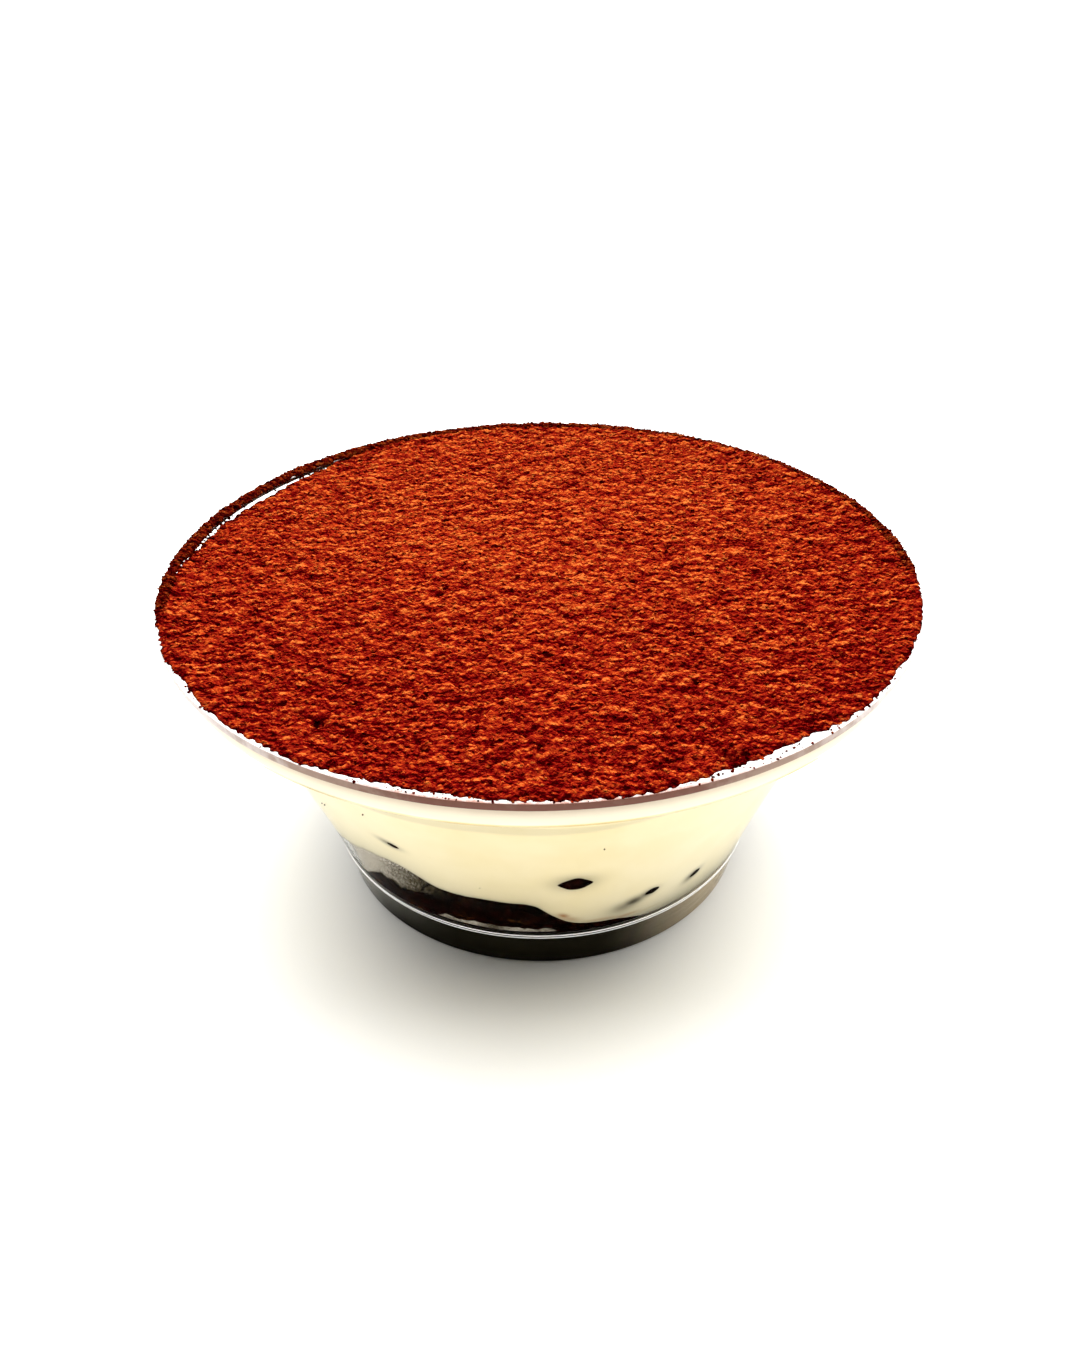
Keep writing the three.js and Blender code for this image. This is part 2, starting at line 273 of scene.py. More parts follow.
# Sizes in the cocoa's relief.
RELIEF_GRAIN = 0.95 * MM
RELIEF_FINE = 0.62 * MM
RELIEF_RIDGE = 1.5 * MM
RELIEF_BROAD = 4.6 * MM
RELIEF_SWIRL = 1.6 * MM
RELIEF_PULL = 0.9 * MM
PIT_SPACING = 7.2 * MM

# What is strewn, with its density for each square metre.
GRAINS = {
    "Density": 0.80e6, "Smallest": 0.35 * MM, "Largest": 0.85 * MM,
    "Squash": 0.45, "Seed": 7, "Crumple": 1.0,
}
FINES = {
    "Density": 0.80e6, "Smallest": 0.25 * MM, "Largest": 0.55 * MM,
    "Squash": 0.5, "Seed": 8, "Crumple": 1.0,
}
RIM_GRAINS = {
    "Density": 6.0e6, "Smallest": 0.2 * MM, "Largest": 0.5 * MM,
    "Squash": 0.9, "Seed": 12, "Crumple": 1.0,
}
RIM_CRUMBS = {
    "Density": 5.0e6, "Smallest": 0.14 * MM, "Largest": 0.5 * MM,
    "Squash": 1.0, "Seed": 14, "Crumple": 1.2,
}
BUBBLES = {
    "Density": 6.0e6, "Smallest": 0.10 * MM, "Largest": 0.30 * MM,
    "Squash": 1.0, "Seed": 5, "Crumple": 0.0,
}
CRUMB_BAND = (57.2 * MM, RIM_RADIUS - 0.15 * MM)
# Where crumbs lie in the gap behind the cocoa's low edge: stretch and share of their full density.
GAP_CRUMBS = (((130, 14), 0.8), ((176, 20), 1.3), ((153, 35), 0.35))
LUMP_TILT = 0.4
LUMP_STRETCH = (0.75, 1.25)
LUMP_TONE = (0.25, 1.05)

# The pieces that the lamp behind lights, where it stands and what it is turned to.
POWDER = ("cocoa_bed", "cocoa_grains", "cocoa_fines", "rim_dust", "rim_grains", "rim_crumbs")
LAMP_PLACE = (0.05, 0.65, 0.30)
LAMP_AIM = (0, 0, 0.03)
LAMP_SIZE = 0.2
# How far the panel of light above reaches to the left and right and to the front and back, as slopes from
# straight up, and how softly it ends.
PANEL_ACROSS = (-0.97, 1.40)
PANEL_ALONG = (-0.315, 1.30)
PANEL_SOFTNESS = 0.04
TABLE_REACH = 4
TABLE_DROP = 0.03 * MM
LENS = 32.0

AZIMUTHS = np.linspace(-180, 180, 720, endpoint=False)
OCTAVE_FALL = 1.7  # how many times weaker each finer octave of a wobble is


def ease(share):
    """Smooth step from 0 to 1."""
    share = np.clip(share, 0, 1)
    return share * share * (3 - 2 * share)


def rise(value, low, high):
    """Smooth step of a value between two limits."""
    return ease((value - low) / (high - low))


def swell(azimuth, stretch):
    """1 at the middle of a stretch of azimuth, falling smoothly to 0 at its ends."""
    middle, spread = stretch
    away = np.abs((azimuth - middle + 180) % 360 - 180)
    return np.where(away < spread, np.cos(np.minimum(away / spread, 1) * np.pi / 2) ** 2, 0)


def round_the_wall(line, softness=1.0):
    """A line of azimuth and millimetres as metres at every azimuth, its corners rounded off."""
    at, value = np.array(line, float).T
    straight = np.interp(AZIMUTHS, at, value, period=360) * MM
    step = 360 / len(AZIMUTHS)
    reach = max(1, int(3 * softness / step))
    away = np.arange(-reach, reach + 1) * step
    weights = np.exp(-((away / softness) ** 2))
    padded = np.concatenate([straight[-reach:], straight, straight[:reach]])
    return np.convolve(padded, weights / weights.sum(), "valid")


def wobble(seed, count, samples, octaves=1):
    """A closed line of smooth random values between about -1 and 1, with count swings round the circle."""
    random = np.random.default_rng(seed)
    turn = np.arange(samples) / samples
    total = np.zeros(samples)
    for octave in range(octaves):
        knots = count * 2**octave
        values = random.uniform(-1, 1, knots)
        along = turn * knots
        left = along.astype(int) % knots
        step = values[(left + 1) % knots] - values[left]
        total += (values[left] + step * ease(along % 1)) / OCTAVE_FALL**octave
    return total


def body_radius(height):
    """Outer radius of the cup's body."""
    above = height - CORNER_HEIGHT
    return CORNER_RADIUS + BODY_SLOPE * above + BODY_FLARE * above**2


def collar_radius(height):
    """Outer radius of the cup's collar."""
    share = (height - LEDGE_HEIGHT) / (CUP_HEIGHT - LIP_HEIGHT - LEDGE_HEIGHT)
    return COLLAR_FOOT_RADIUS + (COLLAR_TOP_RADIUS - COLLAR_FOOT_RADIUS) * share


def collar_wall(height):
    """Thickness of the collar's plastic."""
    return LEDGE_WALL + (WALL - LEDGE_WALL) * (height - LEDGE_HEIGHT) / (CUP_HEIGHT - LEDGE_HEIGHT)


def rounded(corners, steps=5):
    """An outline of radius and height through corners, each given with how far it is rounded off."""
    outline = []
    for index, (radius, height, cut) in enumerate(corners):
        here = np.array([radius, height])
        if not cut:
            outline.append(here)
            continue
        before = np.array(corners[index - 1][:2]) - here
        after = np.array(corners[index + 1][:2]) - here
        start = here + before / np.linalg.norm(before) * cut
        end = here + after / np.linalg.norm(after) * cut
        for share in np.linspace(0, 1, steps):
            outline.append((1 - share) ** 2 * start + 2 * share * (1 - share) * here + share**2 * end)
    return np.array(outline)


def body_side(low, high, inset, steps):
    """Corners up the cup's body, moved inwards by an inset."""
    return [(body_radius(height) - inset, height, 0) for height in np.linspace(low, high, steps)]


def surface_height(x, y):
    """Smooth height of the cocoa's surface."""
    azimuth = np.degrees(np.arctan2(y, x))
    near_wall = rise(np.hypot(x, y), EDGE_START, COLLAR_FOOT_RADIUS)
    low = LOW_EDGE_DROP * swell(azimuth, LOW_EDGE)
    high = HIGH_EDGE_RISE * swell(azimuth, HIGH_EDGE)
    along, across, skew = WAVE_LENGTHS
    wave = np.sin(x / along + 1) + np.cos(y / across - x / skew)
    return SURFACE_HEIGHT + WAVE_HEIGHT * wave * (1 - near_wall) + (high - low) * near_wall


def place(azimuths, radius, height):
    """Points at azimuths, radii and heights, any of which may be one number for the whole ring."""
    radians = np.radians(azimuths)
    return np.stack(
        [radius * np.cos(radians), radius * np.sin(radians), np.broadcast_to(height, radians.shape)], axis=-1
    )


def remove_old(name):
    """Removes a piece left by an earlier run."""
    if name in bpy.data.objects:
        bpy.data.objects.remove(bpy.data.objects[name], do_unlink=True)


def keep(mesh, label, values):
    """Keeps a number at each of a mesh's points."""
    layer = mesh.attributes.new(label, "FLOAT", "POINT")
    layer.data.foreach_set("value", np.asarray(values, np.float32))


def kept(mesh, label):
    """The numbers kept at a mesh's points."""
    values = np.empty(len(mesh.vertices), np.float32)
    mesh.attributes[label].data.foreach_get("value", values)
    return values


def places(items, label):
    """Distance from the axis, azimuth and height of a mesh's points or faces."""
    flat = np.empty(len(items) * 3)
    items.foreach_get(label, flat)
    x, y, height = flat.reshape(-1, 3).T
    return np.hypot(x, y), np.degrees(np.arctan2(y, x)), height


def new_piece(name, points, faces, attributes=None):
    """A smooth-shaded mesh object from points, faces and numbers at its points."""
    remove_old(name)
    mesh = bpy.data.meshes.new(name)
    mesh.from_pydata(np.asarray(points).tolist(), [], [face.tolist() for face in faces])
    for label, values in (attributes or {}).items():
        keep(mesh, label, values)
    mesh.shade_smooth()
    mesh.validate()
    piece = bpy.data.objects.new(name, mesh)
    bpy.context.scene.collection.objects.link(piece)
    return piece


def closed_skin(rings):
    """Points and faces of a closed skin. Rings run from the bottom's middle out, up and back to the top's
    middle, and the first and last of them each become one point."""
    rings = np.array(rings)
    count = rings.shape[1]
    inner = rings[1:-1]
    points = np.concatenate([rings[0, :1], inner.reshape(-1, 3), rings[-1, :1]])
    number = 1 + np.arange(inner.shape[0] * count).reshape(inner.shape[0], count)
    beside = np.roll(number, -1, axis=1)
    last = len(points) - 1
    walls = np.stack([number[:-1], beside[:-1], beside[1:], number[1:]], axis=-1).reshape(-1, 4)
    bottom = np.stack([np.zeros(count, int), beside[0], number[0]], axis=-1)
    top = np.stack([number[-1], beside[-1], np.full(count, last)], axis=-1)
    return points, [*walls, *bottom, *top]


def on_skin(values):
    """Numbers at the rings of a closed skin, in the order of its points."""
    values = np.array(values)
    return np.concatenate([values[0, :1], values[1:-1].reshape(-1), values[-1, :1]])


class Sheet:
    """Short forms for adding nodes to a tree and joining them."""

    def __init__(self, tree):
        self.tree = tree

    def add(self, kind, inputs=None, **settings):
        """A node with its settings, and its inputs joined or set."""
        node = self.tree.nodes.new(kind)
        for name, value in settings.items():
            setattr(node, name, value)
        for socket, value in (inputs or {}).items():
            self.join(value, node.inputs[socket])
        return node

    def join(self, value, socket):
        """Joins a node's first output or an output to a socket, or sets the socket to a plain value."""
        if isinstance(value, bpy.types.Node):
            value = value.outputs[0]
        if isinstance(value, bpy.types.NodeSocket):
            self.tree.links.new(value, socket)
        elif socket.type == "RGBA":
            socket.default_value = (*value[:3], 1.0)
        else:
            socket.default_value = value

    def spot(self):
        """Where a point of the surface is, in the piece's own coordinates."""
        return self.add("ShaderNodeTexCoord").outputs["Object"]

    def number(self, name):
        """A number kept at the mesh's points, for a material."""
        return self.add("ShaderNodeAttribute", attribute_name=name).outputs["Fac"]

    def stored(self, name):
        """A number kept at the mesh's points, for Geometry Nodes."""
        return self.add("GeometryNodeInputNamedAttribute", {"Name": name}, data_type="FLOAT").outputs[0]

    def store(self, geometry, name, value, domain):
        """A geometry with a number kept under a name."""
        inputs = {"Geometry": geometry, "Name": name, "Value": value}
        return self.add("GeometryNodeStoreNamedAttribute", inputs, data_type="FLOAT", domain=domain)

    def vector(self, operation, first, second):
        """One step of arithmetic on vectors."""
        return self.add("ShaderNodeVectorMath", {0: first, 1: second}, operation=operation).outputs[0]

    def scaled(self, vector, share):
        """A vector made longer or shorter."""
        return self.add("ShaderNodeVectorMath", {0: vector, "Scale": share}, operation="SCALE").outputs[0]

    def coat(self, inputs, clear=False):
        """Finishes a material. A clear one lets lamps through, so that it doesn't darken what it holds."""
        shader = self.add("ShaderNodeBsdfPrincipled", inputs)
        if clear:
            path = self.add("ShaderNodeLightPath")
            nothing = self.add("ShaderNodeBsdfTransparent")
            shader = self.add("ShaderNodeMixShader", {
                0: path.outputs["Is Shadow Ray"], 1: shader, 2: nothing,
            })
        self.add("ShaderNodeOutputMaterial", {"Surface": shader})

    def math(self, operation, *values, clamp=False):
        """One step of arithmetic."""
        node = self.add("ShaderNodeMath", dict(enumerate(values)), operation=operation)
        node.use_clamp = clamp
        return node.outputs[0]

    def added(self, start, *parts):
        """A number with parts added to it, each given with its weight."""
        for part, weight in parts:
            start = self.math("ADD", start, self.math("MULTIPLY", part, weight))
        return start

    def between(self, value, low, high, to_low=0.0, to_high=1.0):
        """A value's smooth way from low to high, as a number from to_low to to_high."""
        inputs = {"Value": value, 1: low, 2: high, 3: to_low, 4: to_high}
        return self.add("ShaderNodeMapRange", inputs, interpolation_type="SMOOTHSTEP").outputs[0]

    def noise(self, place_on, size, detail=2.0, rough=0.5):
        """Smooth noise about 0.5, with features of about a size in metres and finer detail on them."""
        inputs = {"Vector": place_on, "Scale": 1 / size, "Detail": detail, "Roughness": rough}
        return self.add("ShaderNodeTexNoise", inputs).outputs[0]

    def swing(self, place_on, size, detail=2.0, rough=0.5):
        """The same noise about 0."""
        return self.math("SUBTRACT", self.noise(place_on, size, detail, rough), 0.5)

    def bump(self, height, distance):
        """A surface's fine relief."""
        return self.add("ShaderNodeBump", {"Height": height, "Distance": distance})

    def cells(self, place_on, size):
        """Distance to the middle of the nearest of many random cells, and a random colour for it."""
        return self.add("ShaderNodeTexVoronoi", {"Vector": place_on, "Scale": 1 / size}, feature="F1")

    def mix(self, factor, first, second):
        """Two colours mixed."""
        inputs = {0: factor, 6: first, 7: second}
        return self.add("ShaderNodeMix", inputs, data_type="RGBA").outputs[2]


def new_material(name):
    """An empty node material, a way to add nodes to it and the coordinates that its patterns lie on."""
    if name in bpy.data.materials:
        bpy.data.materials.remove(bpy.data.materials[name])
    material = bpy.data.materials.new(name)
    material.use_nodes = True
    material.node_tree.nodes.clear()
    sheet = Sheet(material.node_tree)
    return material, sheet, sheet.spot()


def clear_plastic_material(settings):
    """Polished clear plastic with faint scuffs."""
    material, sheet, spot = new_material("Clear plastic wall")
    scuffs = sheet.between(sheet.noise(spot, 3 * MM, 4, 0.7), 0.45, 0.8, 0.02, 0.08)
    ripple = sheet.bump(sheet.noise(spot, 9 * MM, 1), 0.02 * MM)
    sheet.coat({
        "Base Color": settings.plastic_colour, "Roughness": scuffs, "IOR": CLEAR_IOR,
        "Transmission Weight": 1.0, "Normal": ripple,
    }, clear=True)
    return material


def ledge_plastic_material(settings):
    """Clear plastic in the ledge's outer corner, tinted tan as painted shade: the dark line of its rounded
    edge.
    """
    material, sheet, spot = new_material("Clear plastic ledge")
    tan_patches = sheet.between(sheet.noise(spot, 6 * MM, 2), 0.3, 0.7)
    tone = sheet.mix(tan_patches, settings.ledge_colour, settings.plastic_colour)
    sheet.coat({
        "Base Color": tone, "Roughness": CLEAR_ROUGHNESS, "IOR": CLEAR_IOR, "Transmission Weight": 1.0,
    }, clear=True)
    return material


def foot_plastic_material(settings):
    """Clear plastic round the hollow foot, with the dark of the hollow painted into its tint as painted
    shade, in fine level bands.
    """
    material, sheet, spot = new_material("Clear plastic foot")
    hollow_shade = sheet.number("hollow_shade")
    level = sheet.vector("MULTIPLY", spot, LEVEL_BANDS)
    bands = sheet.between(sheet.noise(level, 2.2 * MM, 3, 0.6), 0.25, 0.75, -0.09, 0.09)
    bands = sheet.math("MULTIPLY", bands, sheet.math("SUBTRACT", FULL_FOOT_SHADE, hollow_shade))
    amount = sheet.math("ADD", hollow_shade, bands, clamp=True)
    across = sheet.between(sheet.add("ShaderNodeSeparateXYZ", {0: spot}).outputs["X"], FOOT_LEFT, FOOT_RIGHT)
    clear = sheet.mix(across, settings.foot_left_colour, settings.foot_colour)
    tone = sheet.mix(amount, clear, settings.hollow_shade_colour)
    sheet.coat({
        "Base Color": tone, "Roughness": CLEAR_ROUGHNESS, "IOR": CLEAR_IOR, "Transmission Weight": 0.75,
        "Specular IOR Level": 0.0,
    })
    return material


def flange_material(settings):
    """The flat top of the rim, white and rough: the white is a painted highlight for light glinting off it.
    """
    material, sheet, spot = new_material("Glinting rim")
    glint = sheet.between(sheet.noise(spot, 0.7 * MM, 3, 0.7), 0.3, 0.7)
    clean = sheet.mix(glint, settings.glint_colour, WHITE)
    flat = sheet.vector("MULTIPLY", spot, (1, 1, 0))
    out = sheet.add("ShaderNodeVectorMath", {0: flat}, operation="LENGTH").outputs["Value"]
    dusty = sheet.number("dusty")
    outer = sheet.between(out, RIM_RADIUS - 0.9 * MM, RIM_RADIUS - 0.1 * MM, 0.0, 0.8)
    patchy = sheet.between(sheet.noise(spot, 1.2 * MM, 3, 0.7), 0.3, 0.7, -0.35, 0.35)
    caught = sheet.math("MULTIPLY", sheet.math("ADD", outer, patchy), dusty, clamp=True)
    tone = sheet.mix(caught, clean, settings.dusted_colour)
    rough = sheet.between(glint, 0.0, 1.0, 0.25, 0.5)
    sheet.coat({
        "Base Color": tone, "Roughness": rough, "IOR": GLINT_IOR, "Transmission Weight": 0.25,
    }, clear=True)
    return material


def lip_material(settings):
    """The rim's edge, grey with fine dust and browner where cocoa lies over it."""
    material, sheet, spot = new_material("Dusty rim edge")
    dusty = sheet.number("dusty")
    blotch = sheet.between(sheet.noise(spot, 2.5 * MM, 3, 0.6), 0.3, 0.7, -0.1, 0.1)
    amount = sheet.math("ADD", dusty, blotch, clamp=True)
    pale = sheet.mix(sheet.between(amount, 0.0, 0.5), settings.pale_lip_colour, settings.tan_lip_colour)
    tone = sheet.mix(sheet.between(amount, 0.5, 1.0), pale, settings.brown_lip_colour)
    sheet.coat({
        "Base Color": tone, "Roughness": 0.5, "Specular IOR Level": 0.1,
    })
    return material


def highlight_bead_material(settings):
    """White metallic plastic along a raised edge: a painted highlight for the corner's bright line."""
    material, sheet, spot = new_material("Highlight plastic edge")
    highlight_patches = sheet.between(sheet.noise(spot, 1.5 * MM, 3), 0.3, 0.7)
    tone = sheet.mix(highlight_patches, settings.highlight_colour, WHITE)
    sheet.coat({
        "Base Color": tone, "Roughness": 0.25, "IOR": HIGHLIGHT_IOR, "Metallic": 0.85,
    })
    return material


def cream_material(settings):
    """Smooth pale cream, greyer over sponge and brown where coffee has run; light and shade are painted in.
    """
    material, sheet, spot = new_material("Mascarpone cream")
    cloud = sheet.between(sheet.noise(spot, 7 * MM, 3), 0.3, 0.75)
    tone = sheet.mix(cloud, settings.colour, settings.pale_colour)
    for label, colour in (
        ("painted_light", settings.painted_light_colour), ("shade_and_dust", settings.shade_and_dust_colour),
        ("shade", settings.shaded_colour), ("veil", settings.veil_colour),
        ("coffee", settings.coffee_colour),
    ):
        tone = sheet.mix(sheet.number(label), tone, colour)
    bump = sheet.bump(sheet.noise(spot, 2.5 * MM, 3), 0.05 * MM)
    sheet.coat({
        "Base Color": tone, "Roughness": 0.6, "Specular IOR Level": 0.05, "Normal": bump,
    })
    return material


def sponge_material(settings):
    """Wet dark sponge with red-brown crumbs; pale grey painted light where the air pocket is open and in a
    low strip.
    """
    material, sheet, spot = new_material("Soaked sponge")
    mist_and_light = sheet.number("mist_and_light")
    crumbs = sheet.noise(spot, 1.1 * MM, 4, 0.65)
    seams = sheet.between(sheet.math("ABSOLUTE", sheet.swing(spot, 2.2 * MM, 3)), 0.0, 0.02, 1.0, 0.0)
    dark = sheet.mix(sheet.between(crumbs, 0.42, 0.72), settings.colour, settings.crumb_colour)
    patch = sheet.between(sheet.noise(spot, 5 * MM, 1), 0.5, 0.62, 0.0, 0.6)
    outside = sheet.math("MULTIPLY", patch, sheet.between(mist_and_light, -0.2, -0.05))
    ochre = sheet.mix(sheet.math("MULTIPLY", seams, outside), dark, settings.ochre_colour)
    # Beads of mist over the painted light.
    beads = sheet.swing(spot, 0.35 * MM, 2, 0.7)
    with_beads = sheet.math("ADD", mist_and_light, sheet.math("MULTIPLY", beads, 0.9))
    damp = sheet.mix(sheet.between(with_beads, 0.1, 0.8), settings.olive_colour, settings.misty_light_colour)
    misty_light = sheet.mix(sheet.between(mist_and_light, 1.0, 1.5), damp, settings.froth_colour)
    edge = sheet.between(mist_and_light, 0.02, 0.2, 0.0, 0.9)
    lumpy = sheet.math("MULTIPLY", sheet.math("SUBTRACT", crumbs, 0.5), edge)
    tone = sheet.mix(sheet.between(sheet.math("ADD", lumpy, mist_and_light), 0.06, 0.2), ochre, misty_light)
    bump = sheet.bump(crumbs, 0.5 * MM)
    sheet.coat({
        "Base Color": tone, "Roughness": 1.0, "Specular IOR Level": 0.0, "Normal": bump,
    })
    return material


def froth_material(settings):
    """Pale froth of the bubbles in the air pocket."""
    material, sheet, spot = new_material("Cream froth")
    tone = sheet.mix(sheet.noise(spot, 0.6 * MM, 2), settings.misty_light_colour, settings.froth_colour)
    sheet.coat({"Base Color": tone, "Roughness": 0.2})
    return material


def facing_back(sheet, spot, size, detail, step):
    """How much the noise of a size falls towards the back, over a step in metres; it paints light from
    behind.
    """
    further = sheet.vector("ADD", spot, (0, step, 0))
    return sheet.math("SUBTRACT", sheet.noise(spot, size, detail), sheet.noise(further, size, detail))


def cocoa_material(settings, name, share):
    """Dry powder with painted light and shade: dark red in its hollows and on the front of its crumbs,
    orange-brown on their crests, darker away from its palest spot. Its share makes all of it darker or
    brighter than the cocoa's own colours."""
    material, sheet, spot = new_material(name)
    grit = sheet.noise(spot, 0.8 * MM, 2)
    away = sheet.add("ShaderNodeVectorMath", {0: spot, 1: BRIGHTEST_SPOT}, operation="DISTANCE")
    # Painted light and shade, with real random grain: crests and back slopes paler; hollows, fronts, front
    # and sides darker.
    tone = sheet.added(
        -0.15,
        (sheet.number("crest"), 0.5),
        (grit, settings.speckle),
        (facing_back(sheet, spot, 0.8 * MM, 2, 0.14 * MM), settings.crumb_contrast),
        (facing_back(sheet, spot, 2.2 * MM, 1, 0.5 * MM), settings.lump_contrast),
        (sheet.swing(spot, 4.5 * MM, 2), 0.3),
        (sheet.between(away.outputs["Value"], DARKEST_FROM, DARKEST_FULL), -settings.front_darker),
    )
    ramp = sheet.add("ShaderNodeValToRGB", {0: tone})
    stops = (
        (0.0, settings.dark_colour), (0.3, settings.red_colour), (0.6, settings.colour),
        (0.85, settings.crest_colour), (1.0, settings.pale_colour),
    )
    for _ in stops[2:]:
        ramp.color_ramp.elements.new(0.5)
    for element, (at, colour) in zip(ramp.color_ramp.elements, stops):
        element.position = at
        element.color = (*(part * share for part in colour), 1.0)
    bump = sheet.bump(grit, settings.grit)
    sheet.coat({
        "Base Color": ramp.outputs[0], "Roughness": 1.0, "Specular IOR Level": 0.0, "Normal": bump,
    })
    return material


def floor_material(settings):
    """Plain pale table top."""
    material, sheet, _ = new_material("Pale table top")
    sheet.coat({"Base Color": settings.floor_colour, "Roughness": 0.8, "Specular IOR Level": 0.1})
    return material


def new_tree(name, sockets):
    """A way to add nodes to a new Geometry Nodes tree, with a geometry going in and out and the named inputs
    given, and its group input."""
    if name in bpy.data.node_groups:
        bpy.data.node_groups.remove(bpy.data.node_groups[name])
    tree = bpy.data.node_groups.new(name, "GeometryNodeTree")
    tree.interface.new_socket("Geometry", in_out="INPUT", socket_type="NodeSocketGeometry")
    tree.interface.new_socket("Geometry", in_out="OUTPUT", socket_type="NodeSocketGeometry")
    for label, kind in sockets.items():
        tree.interface.new_socket(label, in_out="INPUT", socket_type=kind)
    sheet = Sheet(tree)
    return sheet, sheet.add("NodeGroupInput")


def handed_over(sheet, geometry, given):
    """A tree, ended with its instances made real and with the material given."""
    real = sheet.add("GeometryNodeRealizeInstances", {"Geometry": geometry})
    coloured = sheet.add("GeometryNodeSetMaterial", {"Geometry": real, "Material": given.outputs["Material"]})
    sheet.add("NodeGroupOutput", {"Geometry": coloured})
    return sheet.tree


def grown(name, host, tree, values):
    """The plain mesh that a Geometry Nodes tree makes from a host piece, which it takes the place of."""
    modifier = host.modifiers.new("Make", "NODES")
    modifier.node_group = tree
    for socket in tree.interface.items_tree:
        if socket.in_out == "INPUT" and socket.name in values:
            modifier[socket.identifier] = values[socket.name]
    evaluated = host.evaluated_get(bpy.context.evaluated_depsgraph_get())
    mesh = bpy.data.meshes.new_from_object(evaluated)
    remove_old(host.name)
    remove_old(name)
    mesh.name = name
    mesh.materials.clear()
    mesh.materials.append(values["Material"])
    mesh.polygons.foreach_set("material_index", np.zeros(len(mesh.polygons), np.int32))
    piece = bpy.data.objects.new(name, mesh)
    bpy.context.scene.collection.objects.link(piece)
    return piece


def turning_tree():
    """Turns an outline of points in the XZ plane once round Z and closes it."""
    sheet, given = new_tree("Turned on the wheel", {
        "Segments": "NodeSocketInt", "Material": "NodeSocketMaterial",
    })
    rows = sheet.add("GeometryNodeAttributeDomainSize", {"Geometry": given.outputs["Geometry"]}).outputs[0]
    columns = sheet.math("ADD", given.outputs["Segments"], 1)
    grid = sheet.add("GeometryNodeMeshGrid", {
        "Size X": 1.0, "Size Y": 1.0, "Vertices X": columns, "Vertices Y": rows,
    })
    spot = sheet.add("ShaderNodeSeparateXYZ", {0: sheet.add("GeometryNodeInputPosition")})
    angle = sheet.math("MULTIPLY", sheet.math("ADD", spot.outputs["X"], 0.5), math.tau)
    row = sheet.math("MULTIPLY", sheet.math("ADD", spot.outputs["Y"], 0.5), sheet.math("SUBTRACT", rows, 1))
    number = sheet.add("FunctionNodeFloatToInt", {0: row}, rounding_mode="ROUND")
    picked = sheet.add("GeometryNodeSampleIndex", {
        "Geometry": given.outputs["Geometry"], "Value": sheet.add("GeometryNodeInputPosition"),
        "Index": number,
    }, data_type="FLOAT_VECTOR")
    turned = sheet.add("ShaderNodeVectorRotate", {"Vector": picked, "Angle": angle}, rotation_type="Z_AXIS")
    moved = sheet.add("GeometryNodeSetPosition", {"Geometry": grid, "Position": turned})
    closed = sheet.add("GeometryNodeMergeByDistance", {"Geometry": moved, "Distance": 0.001 * MM})
    smooth = sheet.add("GeometryNodeSetShadeSmooth", {"Geometry": closed})
    return handed_over(sheet, smooth, given)


def turned_piece(name, outline, segments, material):
    """A closed piece turned about Z from an outline of radius and height."""
    points = [(radius, 0.0, height) for radius, height in outline]
    host = new_piece(name + "_outline", points, [])
    return grown(name, host, turning_tree(), {"Segments": segments, "Material": material})


def cup_outline():
    """Section of the cup, from the underside of its floor out, up and back in."""
    lip_underside = CUP_HEIGHT - LIP_HEIGHT
    shelf = LEDGE_HEIGHT + LEDGE_WALL
    return rounded([
        (0, FLOOR_UNDERSIDE, 0),
        (CORNER_RADIUS - FOOT_RING_WIDTH, FLOOR_UNDERSIDE, 0.6 * MM),
        (FOOT_RADIUS - FOOT_RING_WIDTH, 0, 0.25 * MM),
        (FOOT_RADIUS, 0, 0.35 * MM),
        (CORNER_RADIUS - 0.25 * MM, CORNER_HEIGHT - 0.5 * MM, 0.12 * MM),
        (CORNER_RADIUS + 0.1 * MM, CORNER_HEIGHT, 0.2 * MM),
        *body_side(CORNER_HEIGHT + 0.6 * MM, LEDGE_HEIGHT - 1.2 * MM, 0, BODY_ROWS),
        (body_radius(LEDGE_HEIGHT), LEDGE_HEIGHT, 0.7 * MM),
        (COLLAR_FOOT_RADIUS, LEDGE_HEIGHT, 0.5 * MM),
        (COLLAR_TOP_RADIUS, lip_underside, 0.2 * MM),
        (RIM_RADIUS, lip_underside, 0.12 * MM),
        (RIM_RADIUS, CUP_HEIGHT, 0.3 * MM),
        (collar_radius(CUP_HEIGHT) - WALL, CUP_HEIGHT, 0.2 * MM),
        (collar_radius(shelf) - LEDGE_WALL, shelf, 0.3 * MM),
        (body_radius(shelf) - WALL, shelf, 0.5 * MM),
        *reversed(body_side(FLOOR_TOP + 1.2 * MM, shelf - 1.2 * MM, WALL, BODY_ROWS)),
        (body_radius(FLOOR_TOP) - WALL, FLOOR_TOP, 0.8 * MM),
        (0, FLOOR_TOP, 0),
    ])


def cream_side():
    """The cream's outline against the wall above the body: round the shelf and up the collar."""
    shelf = LEDGE_HEIGHT + LEDGE_WALL - REACH
    low = shelf - 1.6 * MM
    top = SURFACE_HEIGHT - COCOA_THICKNESS
    above = shelf + 1.2 * MM
    return rounded([
        (body_radius(low) - FOOD_INSET, low, 0),
        (body_radius(shelf) - FOOD_INSET, shelf, 0.5 * MM),
        (collar_radius(shelf) - collar_wall(shelf) + REACH, shelf, 0.3 * MM),
        (collar_radius(above) - collar_wall(above) + REACH, above, 0),
        (collar_radius(top) - collar_wall(top) + REACH, top, 0),
    ])


def cream_underside(edge, share):
    """Height of the cream's underside at a share of the sponge's radius."""
    return SPONGE_MIDDLE_HEIGHT + (edge - SPONGE_MIDDLE_HEIGHT) * rise(share, SPONGE_SHOULDER, 1)


